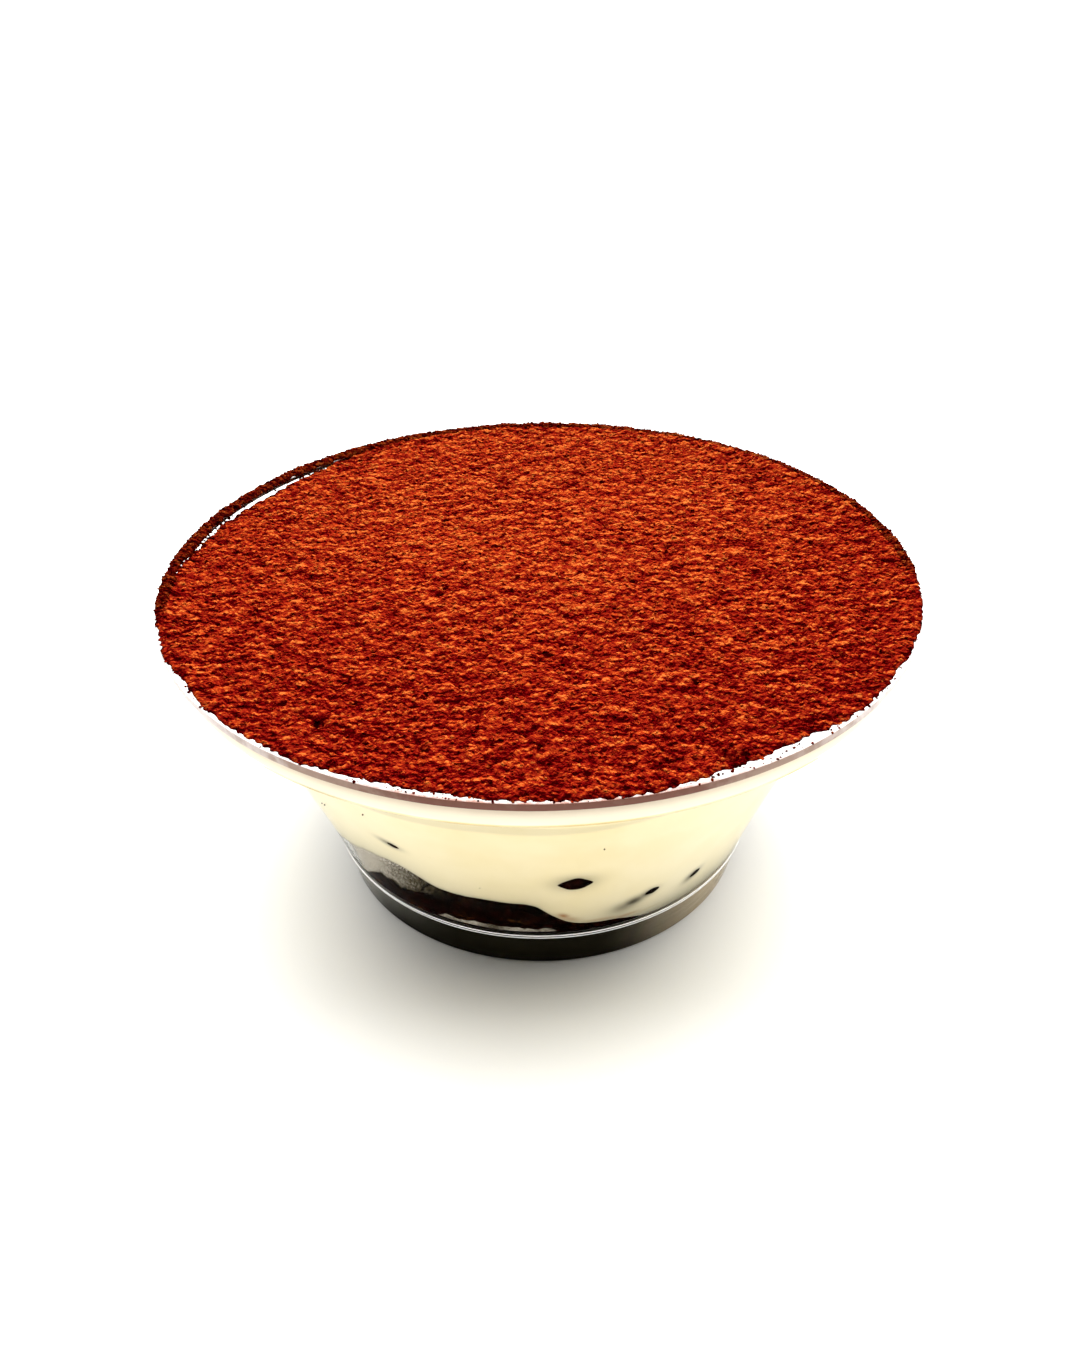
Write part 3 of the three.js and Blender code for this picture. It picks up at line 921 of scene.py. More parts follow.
def marked(marks, heights, start):
    """How strongly oval marks on the wall show at its points, over the strength that they start with. A mark
    is an azimuth, a height, a tilt, a length, a height of its own and a strength."""
    for azimuth, middle, tilt, long, tall, strength in marks:
        across = np.radians(AZIMUTHS - azimuth) * (body_radius(middle * MM) - WALL)
        up = heights - middle * MM
        lean = math.radians(tilt)
        along = across * math.cos(lean) + up * math.sin(lean)
        over = up * math.cos(lean) - across * math.sin(lean)
        far = np.hypot(along / (long * MM / 2), over / (tall * MM / 2))
        start = np.maximum(start, strength * np.exp(-(far**2) * MARK_FADE))
    return start


def cup_finishes(radius, height):
    """Which finish each face of the cup has, from its middle's distance from the axis and height."""
    lip_underside = CUP_HEIGHT - LIP_HEIGHT
    on_lip = (height > lip_underside - NEAR) & (
        (radius > RIM_RADIUS - 0.1 * MM) | (height < lip_underside + NEAR)
    )
    on_ledge = (height > LEDGE_HEIGHT - 0.1 * MM) & (height < LEDGE_HEIGHT + 0.5 * MM)
    return np.select(
        [
            on_lip,
            height > CUP_HEIGHT - FLANGE_DEPTH,
            on_ledge & (radius > LEDGE_MARK_FROM),
            height < FLOOR_UNDERSIDE - 0.1 * MM,
        ],
        [LIP_FINISH, FLANGE_FINISH, LEDGE_FINISH, FOOT_FINISH],
        WALL_FINISH,
    ).astype(np.int32)


def tint(name, description, default):
    """A colour that can be changed."""
    return FloatVectorProperty(name=name, description=description, default=default, subtype="COLOR")


def length(name, description, default):
    """A length that can be changed."""
    return FloatProperty(name=name, description=description, default=default, unit="LENGTH")


class TIRAMISU_PG_cup(bpy.types.PropertyGroup):
    """Sizes and finish of the cup."""

    segments: IntProperty(name="Segments", description="Steps round the cup", default=256, min=48)
    bead: length("Corner bead", "Thickness of the rubbed bead above the foot", 0.25 * MM)
    plastic_colour: tint("Plastic", "Tint of the clear plastic", (0.985, 0.99, 0.985))
    foot_colour: tint("Foot", "Tint of the plastic round the foot", (0.97, 0.86, 0.67))
    foot_left_colour: tint("Foot, left", "Tint of the foot on its left", (0.97, 0.95, 0.88))
    # Painted shade: the foot takes this tint where the hollow under the cup's floor is dark.
    hollow_shade_colour: tint("Shade", "Tint where the foot looks dark", (0.0530, 0.0447, 0.0260))
    ledge_colour: tint("Ledge", "Tint of the corner of the ledge", (0.86, 0.76, 0.60))
    # Painted highlight: the white of the rim's top, for light glinting off the clear plastic.
    glint_colour: tint("Glint", "Colour of the whitened top of the rim", (0.93, 0.90, 0.87))
    dusted_colour: tint(
        "Dusted rim", "Colour of the rim's top where fine dust lies on it", (0.52, 0.27, 0.21)
    )
    pale_lip_colour: tint("Rim edge", "Colour of the rim's edge", (0.74, 0.65, 0.62))
    tan_lip_colour: tint(
        "Tan rim edge", "Colour of the rim's edge where some cocoa lies over it", (0.33, 0.225, 0.175)
    )
    brown_lip_colour: tint("Dusty rim edge", "Colour of the rim's edge under cocoa", (0.17, 0.07, 0.05))
    # Painted highlight: the white of the beads over the foot.
    highlight_colour: tint("Highlight plastic", "Colour of the rubbed bead", (0.93, 0.91, 0.88))


class TIRAMISU_PG_cream(bpy.types.PropertyGroup):
    """Colours of the cream."""

    colour: tint("Cream", "Colour of the cream", (0.765, 0.65, 0.385))
    pale_colour: tint("Pale cream", "Colour of its paler clouds", (0.80, 0.69, 0.44))
    # Painted shade with some real cocoa dust: the cream's colour just under the rim's overhang.
    shade_and_dust_colour: tint("Blush", "Colour just under the rim", (0.56, 0.40, 0.30))
    # Painted light: the cream takes this paler colour up at the collar and partly at the sides.
    painted_light_colour: tint("Collar cream", "Colour up at the collar", (0.95, 0.90, 0.71))
    shaded_colour: tint("Shaded cream", "Colour low down, where the cream is thin", (0.34, 0.31, 0.22))
    veil_colour: tint("Veiled cream", "Colour over sponge that lies just behind", (0.05, 0.042, 0.03))
    coffee_colour: tint("Coffee", "Colour of coffee that has run into the cream", (0.25, 0.10, 0.03))


class TIRAMISU_PG_sponge(bpy.types.PropertyGroup):
    """Colours of the sponge and its air pocket."""

    colour: tint("Sponge", "Colour of the soaked sponge", (0.0012, 0.0004, 0.0002))
    crumb_colour: tint("Crumbs", "Colour of its crumbs", (0.014, 0.002, 0.0012))
    ochre_colour: tint("Ochre seams", "Colour of the paler seams in it", (0.16, 0.06, 0.015))
    olive_colour: tint("Damp film", "Colour of the damp film in the pocket", (0.038, 0.028, 0.012))
    # Painted light with some real mist: the grey at the open end of the air pocket; the froth uses it too.
    misty_light_colour: tint("Mist", "Colour of the misted end of the pocket", (0.47, 0.42, 0.34))
    froth_colour: tint("Froth", "Colour of the bubbles", (0.86, 0.83, 0.75))


class TIRAMISU_PG_cocoa(bpy.types.PropertyGroup):
    """Relief, lumps and colours of the cocoa."""

    rings: IntProperty(name="Rings", description="Rings of points in the bed", default=174, min=20, max=176)
    relief: length("Relief", "Height of the bed's small lumps", 0.8 * MM)
    pit_depth: length("Pits", "Depth of the small pits", 0.9 * MM)
    grit: length("Grit", "Height of the finest grain", 0.5 * MM)
    speckle: FloatProperty(
        name="Speckle", description="How strongly the finest grain changes tone", default=0.8
    )
    # Painted shade: the fronts of crumbs and lumps are coloured darker, as if lit from behind.
    crumb_contrast: FloatProperty(
        name="Crumb contrast", description="How much darker the small crumbs are on their front", default=3.4
    )
    lump_contrast: FloatProperty(
        name="Lump contrast", description="How much darker the lumps are on their front", default=2.2
    )
    # Painted shade towards the front and sides.
    front_darker: FloatProperty(
        name="Darker front", description="How much darker the powder is towards the front and sides",
        default=0.14,
    )
    # Lit and shaded tones of one powder: painted shade in the hollows, painted light on the crests.
    dark_colour: tint("Dark cocoa", "Colour in the hollows", (0.0185, 0.0, 0.00012))
    red_colour: tint("Red cocoa", "Colour of the shaded powder", (0.0697, 0.00023, 0.0008))
    colour: tint("Cocoa", "Middle colour of the powder", (0.1755, 0.0088, 0.0026))
    crest_colour: tint("Cocoa crests", "Colour of the crests", (0.281, 0.0350, 0.0046))
    pale_colour: tint("Pale cocoa", "Colour of the palest crests", (0.378, 0.086, 0.0155))
    dust_share: FloatProperty(
        name="Rim dust", description="Brightness of the dust caught on the rim, as a share of the powder's",
        default=0.5, min=0, max=1,
    )


class TIRAMISU_PG_stage(bpy.types.PropertyGroup):
    """Floor, light and camera."""

    floor_colour: tint("Floor", "Colour of the table top", (0.86, 0.86, 0.84))
    overhead: FloatProperty(name="Overhead", description="Strength of the light from above", default=5.3)
    front: FloatProperty(name="Front", description="Strength of the light from low in front", default=0.05)
    behind: FloatProperty(name="Behind", description="Strength of the light from low behind", default=0.3)
    lamp: FloatProperty(name="Lamp", description="Power of the lamp behind", default=8.0, unit="POWER")
    camera_place: FloatVectorProperty(
        name="Camera", description="Place of the camera", default=(0.0, -0.16686, 0.14210), unit="LENGTH"
    )
    camera_pitch: FloatProperty(
        name="Pitch", description="How far the camera looks down", default=math.radians(33.536),
        unit="ROTATION",
    )
    camera_roll: FloatProperty(
        name="Roll", description="How far the camera leans", default=math.radians(-0.9007), unit="ROTATION"
    )


class TIRAMISU_OT_cup(bpy.types.Operator):
    """Builds the clear cup and the beads above its foot, which carry a painted highlight."""

    bl_idname = "tiramisu.cup"
    bl_label = "Cup"

    def execute(self, context):
        settings = context.scene.tiramisu_cup
        cup = turned_piece("clear_cup", cup_outline(), settings.segments, clear_plastic_material(settings))
        for material in (ledge_plastic_material(settings), flange_material(settings), lip_material(settings),
                         foot_plastic_material(settings)):
            cup.data.materials.append(material)
        radius, _, height = places(cup.data.polygons, "center")
        cup.data.polygons.foreach_set("material_index", cup_finishes(radius, height))
        _, azimuth, height = places(cup.data.vertices, "co")
        # The foot's painted shade of the dark hollow, and the dust on the rim's edge.
        hollow_shade, dusty = (
            np.interp(azimuth, *np.array(line, float).T, period=360) for line in (FOOT_SHADE, LIP_DUST)
        )
        level = (height - FLOOR_UNDERSIDE / 2) / (FLOOR_UNDERSIDE / 2)
        slope = FOOT_SHADE_SLOPE * level * swell(azimuth, FOOT_SHADE_SLOPE_AT)
        keep(cup.data, "hollow_shade", np.clip(hollow_shade - slope, 0, 1))
        keep(cup.data, "dusty", dusty)
        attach(cup, BODY)
        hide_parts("cup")
        # The beads' white stands for the bright line of light in the clear corner: a painted highlight.
        highlight = highlight_bead_material(settings)
        thickness = settings.bead / 2
        self.build_bead("corner_bead", thickness, body_radius(UPPER_BEAD_HEIGHT), UPPER_BEAD_HEIGHT, highlight)
        self.build_bead(
            "lower_bead", thickness / LOWER_BEAD_THINNER, LOWER_BEAD_RADIUS, LOWER_BEAD_HEIGHT, highlight
        )
        return {"FINISHED"}

    def build_bead(self, name, thickness, radius, height, material):
        """A round bead that runs round the cup."""
        rings = [
            place(AZIMUTHS, radius + thickness * math.cos(turn), height + thickness * math.sin(turn))
            for turn in np.linspace(0, math.tau, BEAD_SIDES + 1)[:-1]
        ]
        points = np.concatenate(rings)
        number = np.arange(len(points)).reshape(BEAD_SIDES, -1)
        around = np.roll(number, -1, axis=1)
        above = np.roll(number, -1, axis=0)
        faces = np.stack([number, around, np.roll(around, -1, axis=0), above], axis=-1).reshape(-1, 4)
        bead = new_piece(name, points, faces)
        bead.data.materials.append(material)
        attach(bead, BODY)


class TIRAMISU_OT_cream(bpy.types.Operator):
    """Builds the cream, with the tones that it has behind the wall."""

    bl_idname = "tiramisu.cream"
    bl_label = "Cream"

    def execute(self, context):
        edge = round_the_wall(CREAM_EDGE, CREAM_EDGE_SOFTNESS)
        edge = edge + wobble(11, 260, len(AZIMUTHS), 2) * EDGE_WOBBLE
        rings, heights = self.rings(edge)
        points, faces = closed_skin(rings)
        tones = {label: on_skin(values) for label, values in self.tones(edge, heights).items()}
        cream = new_piece("mascarpone_cream", points, faces, tones)
        cream.data.materials.append(cream_material(context.scene.tiramisu_cream))
        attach(cream, BODY)
        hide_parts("cream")
        return {"FINISHED"}

    def rings(self, edge):
        """The cream's rings, and the heights that its tones go by."""
        hidden = np.full(len(AZIMUTHS), HIDDEN)
        rings, heights = [], []
        side_start = body_radius(edge) - FOOD_INSET
        for share in UNDERSIDE_RINGS:
            rings.append(place(AZIMUTHS, side_start * share, cream_underside(edge, share)))
            heights.append(hidden)
        upper = cream_side()
        for share in WALL_RINGS:
            height = edge + (upper[0][1] - edge) * share
            rings.append(place(AZIMUTHS, body_radius(height) - FOOD_INSET, height))
            heights.append(height)
        radians = np.radians(AZIMUTHS)
        for radius, height in upper[1:]:
            rim = surface_height(radius * np.cos(radians), radius * np.sin(radians)) - COCOA_THICKNESS
            on_collar = rise(height, LEDGE_HEIGHT + 1.5 * MM, upper[-1][1])
            lifted = height + (rim - upper[-1][1]) * on_collar
            if on_collar > 0:
                radius = collar_radius(lifted) - collar_wall(lifted) + REACH
            rings.append(place(AZIMUTHS, radius, lifted))
            heights.append(lifted)
        for radius in TOP_RINGS:
            x, y = radius * np.cos(radians), radius * np.sin(radians)
            under = COCOA_THICKNESS if radius > DEEP_FROM else COCOA_DEPTH
            rings.append(np.stack([x, y, surface_height(x, y) - under], axis=-1))
            heights.append(hidden)
        return rings, np.array(heights)

    def tones(self, edge, height):
        """How grey and stained the cream is at its points, with its painted light and painted shade."""
        above = height - edge
        low_right = swell(AZIMUTHS, LOW_RIGHT)
        shade = np.exp(-np.maximum(above, 0) / LOW_SHADE_HEIGHT) * (LOW_SHADE + LOW_RIGHT_SHADE * low_right)
        foot, top = (round_the_wall(line, SHADOW_SOFTNESS) for line in (SHADOW_FOOT, SHADOW_TOP))
        below, over = SHADOW_FADE
        in_shadow = rise(height, foot - below, foot + over) * rise(-height, -top - over, -top + over)
        from_front = np.abs((AZIMUTHS - FRONT + 180) % 360 - 180)
        on_collar = rise(height, LEDGE_HEIGHT - 0.3 * MM, LEDGE_HEIGHT + 0.2 * MM)
        return {
            "veil": marked(HALOS, height, EDGE_VEIL * np.exp(-above / EDGE_VEIL_HEIGHT) * (1 - low_right)),
            "coffee": marked(COFFEE_STAINS, height, np.zeros_like(height)),
            "shade": np.maximum(shade, SHADOW_SHADE * in_shadow),
            # Painted light: paler at the collar and towards the sides.
            "painted_light": np.maximum(on_collar, SIDE_LIGHT * rise(from_front, *SIDES)),
            # Painted shade under the rim's overhang, with some fine cocoa dust.
            "shade_and_dust": np.exp(-np.maximum(SEEN_UNDER_RIM - height, 0) / SHADE_AND_DUST_HEIGHT),
        }


class TIRAMISU_OT_sponge(bpy.types.Operator):
    """Builds the soaked sponge, the bits of it in the cream and the froth in its air pocket."""

    bl_idname = "tiramisu.sponge"
    bl_label = "Sponge"

    def execute(self, context):
        settings = context.scene.tiramisu_sponge
        material = sponge_material(settings)
        self.build_layer(material)
        self.build_bits(material)
        self.build_froth(settings)
        return {"FINISHED"}

    def build_layer(self, material):
        """The sponge layer on the cup's floor."""
        count = len(AZIMUTHS)
        edge = round_the_wall(CREAM_EDGE, CREAM_EDGE_SOFTNESS)
        front = np.sqrt(swell(AZIMUTHS, SPONGE_FRONT))
        ragged = wobble(21, 70, count, 4) * 0.35 * MM * front
        top = np.minimum(round_the_wall(SPONGE_EDGE, SPONGE_EDGE_SOFTNESS) + ragged, edge - 0.02 * MM)
        crumbly = wobble(22, 110, count, 3) * 0.12 * MM * front
        foot = round_the_wall(SPONGE_FOOT, SPONGE_EDGE_SOFTNESS) + crumbly
        foot = np.maximum(np.minimum(foot, top - 0.1 * MM), FLOOR_TOP)
        inset = FOOD_INSET + SPONGE_SET_BACK * swell(AZIMUTHS, SET_BACK)
        pocket = edge - top
        open_pocket = rise(pocket, 0.3 * MM, 1.5 * MM)
        floor = np.full(count, FLOOR_TOP - 0.03 * MM)
        rings, mist_and_light = [], []

        def add(radius, height, misty_light):
            """Adds a ring with its mist and painted light."""
            rings.append(place(AZIMUTHS, radius, height))
            mist_and_light.append(np.broadcast_to(misty_light, AZIMUTHS.shape))

        outer = body_radius(FLOOR_TOP) - inset
        for share in (0, 0.5, 0.85, 0.93):
            add(outer * share, floor, 0)
        # Painted light: the pale strip stands for the lit table seen through the cup's clear floor.
        strip = np.minimum(foot, STRIP_FOOT + wobble(23, 90, count, 2) * 0.06 * MM)
        pale = rise(foot - strip, 0.05 * MM, 0.2 * MM) * (STRIP_LIGHT + 0.14 * wobble(24, 60, count, 2))
        for height, misty_light in ((floor, 0), (strip - 0.03 * MM, 0), (strip, pale), (foot - 0.03 * MM, pale)):
            add(body_radius(height) - inset, height, misty_light)
        for share in np.linspace(0, 1, 12):
            height = foot + (top - foot) * share
            add(body_radius(height) - inset, height, 0.0)
        # Painted light, with beads of mist, at the back of the air pocket.
        misty_light = round_the_wall(POCKET_LIGHT_AND_MIST, POCKET_LIGHT_SOFTNESS) / MM
        wall = body_radius(top) - inset
        ceiling_start = body_radius(edge) - WALL
        way_in = POCKET_START * ceiling_start - wall
        for share in POCKET_RINGS:
            radius = wall + way_in * share * np.maximum(open_pocket, LEAST_POCKET)
            ceiling = cream_underside(edge, np.clip(radius / ceiling_start, 0, 1)) - UNDER_CREAM
            height = ceiling - pocket * (1 - ease(share**0.8))
            lumps = wobble(31 + int(share * 100), 80, count, 3) * 0.25 * MM * open_pocket
            inner = np.where(misty_light > 0.03, misty_light, DRY)
            lumps = lumps * (1 - share) * (share > 0.05)
            add(radius + lumps, height, inner * open_pocket * min(1, share * 8))
        last = wall + way_in * np.maximum(open_pocket, LEAST_POCKET)
        for share in (0.8, 0.6, 0.4, 0.2, 0):
            radius = last * share
            add(radius, cream_underside(edge, radius / ceiling_start) - UNDER_CREAM, 0)
        points, faces = closed_skin(rings)
        sponge = new_piece("soaked_sponge", points, faces, {"mist_and_light": on_skin(mist_and_light)})
        sponge.data.materials.append(material)
        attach(sponge, BODY)
        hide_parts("sponge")

    def build_bits(self, material):
        """Bits of sponge in the cream, flat against the wall."""
        turn = np.linspace(-180, 180, BIT_SIDES, endpoint=False)
        for index, (azimuth, middle, long, tall, deep, tilt, drawn) in enumerate(SPONGE_BITS, start=1):
            middle = middle * MM
            rings = []
            for row in range(BIT_RINGS + 1):
                polar = math.pi * row / BIT_RINGS
                rings.append(place(turn, math.sin(polar), -math.cos(polar)))
            points, faces = closed_skin(rings)
            x, y, z = points.T
            narrow = np.maximum(1 - x**2, 0) ** drawn
            bumps = 1 + 0.10 * np.sin(5 * x + index) * np.cos(4 * z + 2 * index)
            along, up = x * long / 2 * MM, z * narrow * bumps * tall / 2 * MM
            depth = y * narrow * deep / 2 * MM
            lean = math.radians(tilt)
            across = along * math.cos(lean) - up * math.sin(lean)
            height = middle + along * math.sin(lean) + up * math.cos(lean)
            inner = body_radius(height) - WALL
            radius = np.minimum(inner - depth, inner + 2 * REACH)
            spot = np.radians(azimuth) + across / (body_radius(middle) - WALL)
            placed = np.stack([radius * np.cos(spot), radius * np.sin(spot), height], axis=-1)
            bit = new_piece(f"sponge_speck_{index}", placed, faces, {"mist_and_light": np.full(len(placed), DRY)})
            bit.data.materials.append(material)
            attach(bit, BODY)
            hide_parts(f"sponge_bit_{index}")

    def build_froth(self, settings):
        """Fine bubbles along the cream's edge in the air pocket."""
        edge = round_the_wall(CREAM_EDGE, CREAM_EDGE_SOFTNESS)
        chosen = (AZIMUTHS > FROTH_SPAN[0]) & (AZIMUTHS < FROTH_SPAN[1])
        azimuths, edge = AZIMUTHS[chosen], edge[chosen]
        rows = [place(azimuths, body_radius(edge - down) - WALL, edge - down) for down in FROTH_HEIGHTS]
        points = np.concatenate(rows)
        number = np.arange(len(points)).reshape(2, -1)
        faces = np.stack([number[1, :-1], number[1, 1:], number[0, 1:], number[0, :-1]], axis=-1)
        density = np.concatenate([np.ones(len(azimuths)), np.zeros(len(azimuths))])
        host = new_piece("froth_host", points, faces, {"density": density})
        froth = grown("pocket_froth", host, scatter_tree("Froth bubbles", 2), {
            **BUBBLES, "Material": froth_material(settings),
        })
        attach(froth, BODY)


def scatter_tree(name, fineness):
    """Strews crumpled lumps over a host's faces, as thickly as its density says, all made real mesh."""
    sheet, given = new_tree(name, {
        "Density": "NodeSocketFloat", "Smallest": "NodeSocketFloat", "Largest": "NodeSocketFloat",
        "Seed": "NodeSocketInt", "Crumple": "NodeSocketFloat", "Squash": "NodeSocketFloat",
        "Material": "NodeSocketMaterial",
    })
    density = sheet.math("MULTIPLY", given.outputs["Density"], sheet.stored("density"))
    points = sheet.add("GeometryNodeDistributePointsOnFaces", {
        "Mesh": given.outputs["Geometry"], "Density": density, "Seed": given.outputs["Seed"],
    }, distribute_method="RANDOM")
    lump = sheet.add("GeometryNodeMeshIcoSphere", {"Radius": 0.5, "Subdivisions": fineness})
    turn = sheet.add("FunctionNodeRandomValue", {
        "Min": (-LUMP_TILT, -LUMP_TILT, 0), "Max": (LUMP_TILT, LUMP_TILT, math.tau), "Seed": 1,
    }, data_type="FLOAT_VECTOR").outputs[0]
    chance = sheet.add("FunctionNodeRandomValue", {"Seed": 2}, data_type="FLOAT").outputs[1]
    span = sheet.math("SUBTRACT", given.outputs["Largest"], given.outputs["Smallest"])
    grown_by = sheet.math("MULTIPLY", span, sheet.math("POWER", chance, 2.0))
    size = sheet.math("ADD", given.outputs["Smallest"], grown_by)
    stretch = sheet.add("FunctionNodeRandomValue", {
        "Min": (LUMP_STRETCH[0],) * 3, "Max": (LUMP_STRETCH[1],) * 3, "Seed": 3,
    }, data_type="FLOAT_VECTOR").outputs[0]
    flat = sheet.add("ShaderNodeCombineXYZ", {"X": 1.0, "Y": 1.0, "Z": given.outputs["Squash"]})
    scale = sheet.scaled(sheet.vector("MULTIPLY", stretch, flat), size)
    lumps = sheet.add("GeometryNodeInstanceOnPoints", {
        "Points": points, "Instance": lump, "Rotation": turn, "Scale": scale,
    })
    darkest, palest = LUMP_TONE
    tone = sheet.add("FunctionNodeRandomValue", {2: darkest, 3: palest, "Seed": 4}, data_type="FLOAT")
    sized = sheet.store(lumps, "size", size, "INSTANCE")
    toned = sheet.store(sized, "crest", tone.outputs[1], "INSTANCE")
    real = sheet.add("GeometryNodeRealizeInstances", {"Geometry": toned})
    spot = sheet.add("GeometryNodeInputPosition")
    rough = sheet.swing(spot.outputs[0], 0.5 * MM, 2)
    push = sheet.math("MULTIPLY", rough, sheet.stored("size"))
    push = sheet.math("MULTIPLY", push, given.outputs["Crumple"])
    offset = sheet.scaled(sheet.add("GeometryNodeInputNormal"), push)
    crumpled = sheet.add("GeometryNodeSetPosition", {"Geometry": real, "Offset": offset})
    return handed_over(sheet, crumpled, given)


def relief_tree():
    """Raises the small lumps and sinks the pits of a cocoa bed, by as much as its lift allows."""
    sheet, given = new_tree("Powder relief", {
        "Relief": "NodeSocketFloat", "Pit depth": "NodeSocketFloat", "Material": "NodeSocketMaterial",
    })
    spot = sheet.add("GeometryNodeInputPosition").outputs[0]
    flat = sheet.vector("MULTIPLY", spot, (1, 1, 0))
    swirl = sheet.add("ShaderNodeTexNoise", {"Vector": flat, "Scale": 1 / RELIEF_SWIRL, "Detail": 1.0})
    push = sheet.scaled(sheet.vector("SUBTRACT", swirl.outputs[1], (0.5, 0.5, 0.5)), RELIEF_PULL)
    grains = sheet.cells(sheet.vector("ADD", flat, push), RELIEF_GRAIN).outputs["Distance"]
    dome = sheet.math("SUBTRACT", 0.55, sheet.math("MULTIPLY", grains, sheet.math("MULTIPLY", grains, 1.6)))
    swing = sheet.math("ABSOLUTE", sheet.swing(flat, RELIEF_RIDGE, 1))
    ridge = sheet.math("SUBTRACT", 0.12, swing)
    fine = sheet.swing(flat, RELIEF_FINE, 2, 0.6)
    broad = sheet.swing(flat, RELIEF_BROAD, 2, 0.5)
    level = sheet.added(sheet.math("MULTIPLY", dome, 0.28), (fine, 1.1), (ridge, 1.3), (broad, 1.1))
    holes = sheet.cells(flat, PIT_SPACING)
    chance = sheet.add("FunctionNodeSeparateColor", {0: holes.outputs["Color"]}).outputs[0]
    width = sheet.between(chance, 0.15, 1.0, 0.05, 0.115)
    near = sheet.added(holes.outputs["Distance"], (fine, 0.12))
    pit = sheet.math("SUBTRACT", 1.0, sheet.math("DIVIDE", near, width), clamp=True)
    pit = sheet.between(pit, 0.0, 0.7)
    height = sheet.math("SUBTRACT", sheet.math("MULTIPLY", level, given.outputs["Relief"]),
                        sheet.math("MULTIPLY", pit, given.outputs["Pit depth"]))
    apart = sheet.add("ShaderNodeSeparateXYZ", {0: spot})
    raised = sheet.math("ADD", apart.outputs["Z"], sheet.math("MULTIPLY", height, sheet.stored("lift")))
    raised = sheet.math("MAXIMUM", raised, sheet.stored("least"))
    place_at = sheet.add("ShaderNodeCombineXYZ", {
        "X": apart.outputs["X"], "Y": apart.outputs["Y"], "Z": raised,
    })
    moved = sheet.add("GeometryNodeSetPosition", {
        "Geometry": given.outputs["Geometry"], "Position": place_at,
    })
    # Painted shade: the crest tone is lower on low ground and in pits and hollows, so they colour darker.
    sunk = sheet.math("ADD", pit, sheet.stored("hollow"))
    crest = sheet.math("SUBTRACT", sheet.between(level, -0.5, 0.55), sheet.math("MULTIPLY", sunk, 1.3))
    return handed_over(sheet, sheet.store(moved, "crest", crest, "POINT"), given)


def lowness(azimuth):
    """1 where the cocoa stands below the rim, 0 where it is heaped over it."""
    return rise(LOW_EDGE_DROP * swell(azimuth, LOW_EDGE), 0.12 * MM, 0.5 * MM)


def bed_edge(count):
    """Radius of the cocoa's ragged edge at count even azimuths."""
    azimuths = np.arange(count) * 360 / count
    low = lowness(azimuths)
    jag = (wobble(41, 90, count, 4) * 0.10 + wobble(42, 520, count) * 0.28) * MM
    at, radius = np.array(BED_EDGE, float).T
    heaped = np.minimum(np.interp(azimuths, at, radius, period=360) * MM + jag, RIM_RADIUS - 0.1 * MM)
    inside = collar_radius(SURFACE_HEIGHT - LOW_EDGE_DROP) - WALL + np.minimum(jag, REACH)
    return heaped * (1 - low) + inside * low


def bed_points(rings):
    """Points of the cocoa bed's top, in rings of six more points each, how free each is to be lifted, how
    deep it lies in a hollow and how low it may come."""
    edge = bed_edge(6 * rings)
    whole_turn = np.arange(6 * rings) / (6 * rings)
    climb = wobble(44, 260, 6 * rings, 3) * CLIMB
    points, lifts, least = [np.array([[0, 0, surface_height(0, 0)]])], [np.ones(1)], [np.zeros(1)]
    for ring in range(1, rings + 1):
        turn = np.arange(6 * ring) / (6 * ring)
        outline = np.interp(turn, whole_turn, edge, period=1)
        radius = outline * ring / rings
        azimuth = turn * 360
        low = lowness(azimuth)
        x, y = radius * np.cos(turn * math.tau), radius * np.sin(turn * math.tau)
        height = surface_height(x, y) + HEAP_RISE * (1 - low) * rise(radius, HEAP_FROM, HEAP_FULL)
        climbed = np.interp(turn, whole_turn, climb, period=1)
        height += climbed * low * rise(radius, CLIMB_FROM, CLIMB_FULL)
        base = np.where(low > 0.5, height - 0.2 * MM, CUP_HEIGHT - NEAR)
        inwards = np.clip((outline - radius) / EDGE_ROUNDING, 0, 1)
        height = base + (height - base) * np.sqrt(1 - (1 - inwards) ** 2)
        points.append(np.stack([x, y, height], axis=-1))
        lifts.append(EDGE_LIFT + (1 - EDGE_LIFT) * ease(inwards) if ring < rings else np.zeros(len(x)))
        on_rim = (radius > collar_radius(CUP_HEIGHT) - WALL) & (low < 0.5)
        least.append(np.where(on_rim & (ring < rings), CUP_HEIGHT + NEAR, 0))
    points, lifts, least = np.concatenate(points), np.concatenate(lifts), np.concatenate(least)
    hollow = np.zeros(len(points))
    for x, y, width, depth in HOLLOWS:
        far = (points[:, 0] - x * MM) ** 2 + (points[:, 1] - y * MM) ** 2
        share = np.exp(-(far / (width * 0.7 * MM) ** 2))
        points[:, 2] -= share * depth * MM
        hollow = np.maximum(hollow, share)
    return points, lifts, hollow, least


def disc_faces(rings):
    """Triangles between the rings of a bed."""
    faces = []
    for ring in range(1, rings + 1):
        outer_start = 1 + 3 * ring * (ring - 1)
        inner_start = 1 + 3 * (ring - 1) * (ring - 2) if ring > 1 else 0
        for sector in range(6):
            step = np.arange(ring)
            outer = sector * ring + step
            inner = sector * (ring - 1) + step
            inner_count = max(6 * (ring - 1), 1)
            outer_ids = outer_start + outer
            next_ids = outer_start + (outer + 1) % (6 * ring)
            inner_ids = inner_start + inner % inner_count
            faces.append(np.stack([inner_ids, outer_ids, next_ids], axis=-1))
            if ring > 1:
                inner_next = inner_start + (inner[:-1] + 1) % inner_count
                faces.append(np.stack([inner_ids[:-1], next_ids[:-1], inner_next], axis=-1))
    return np.concatenate(faces)


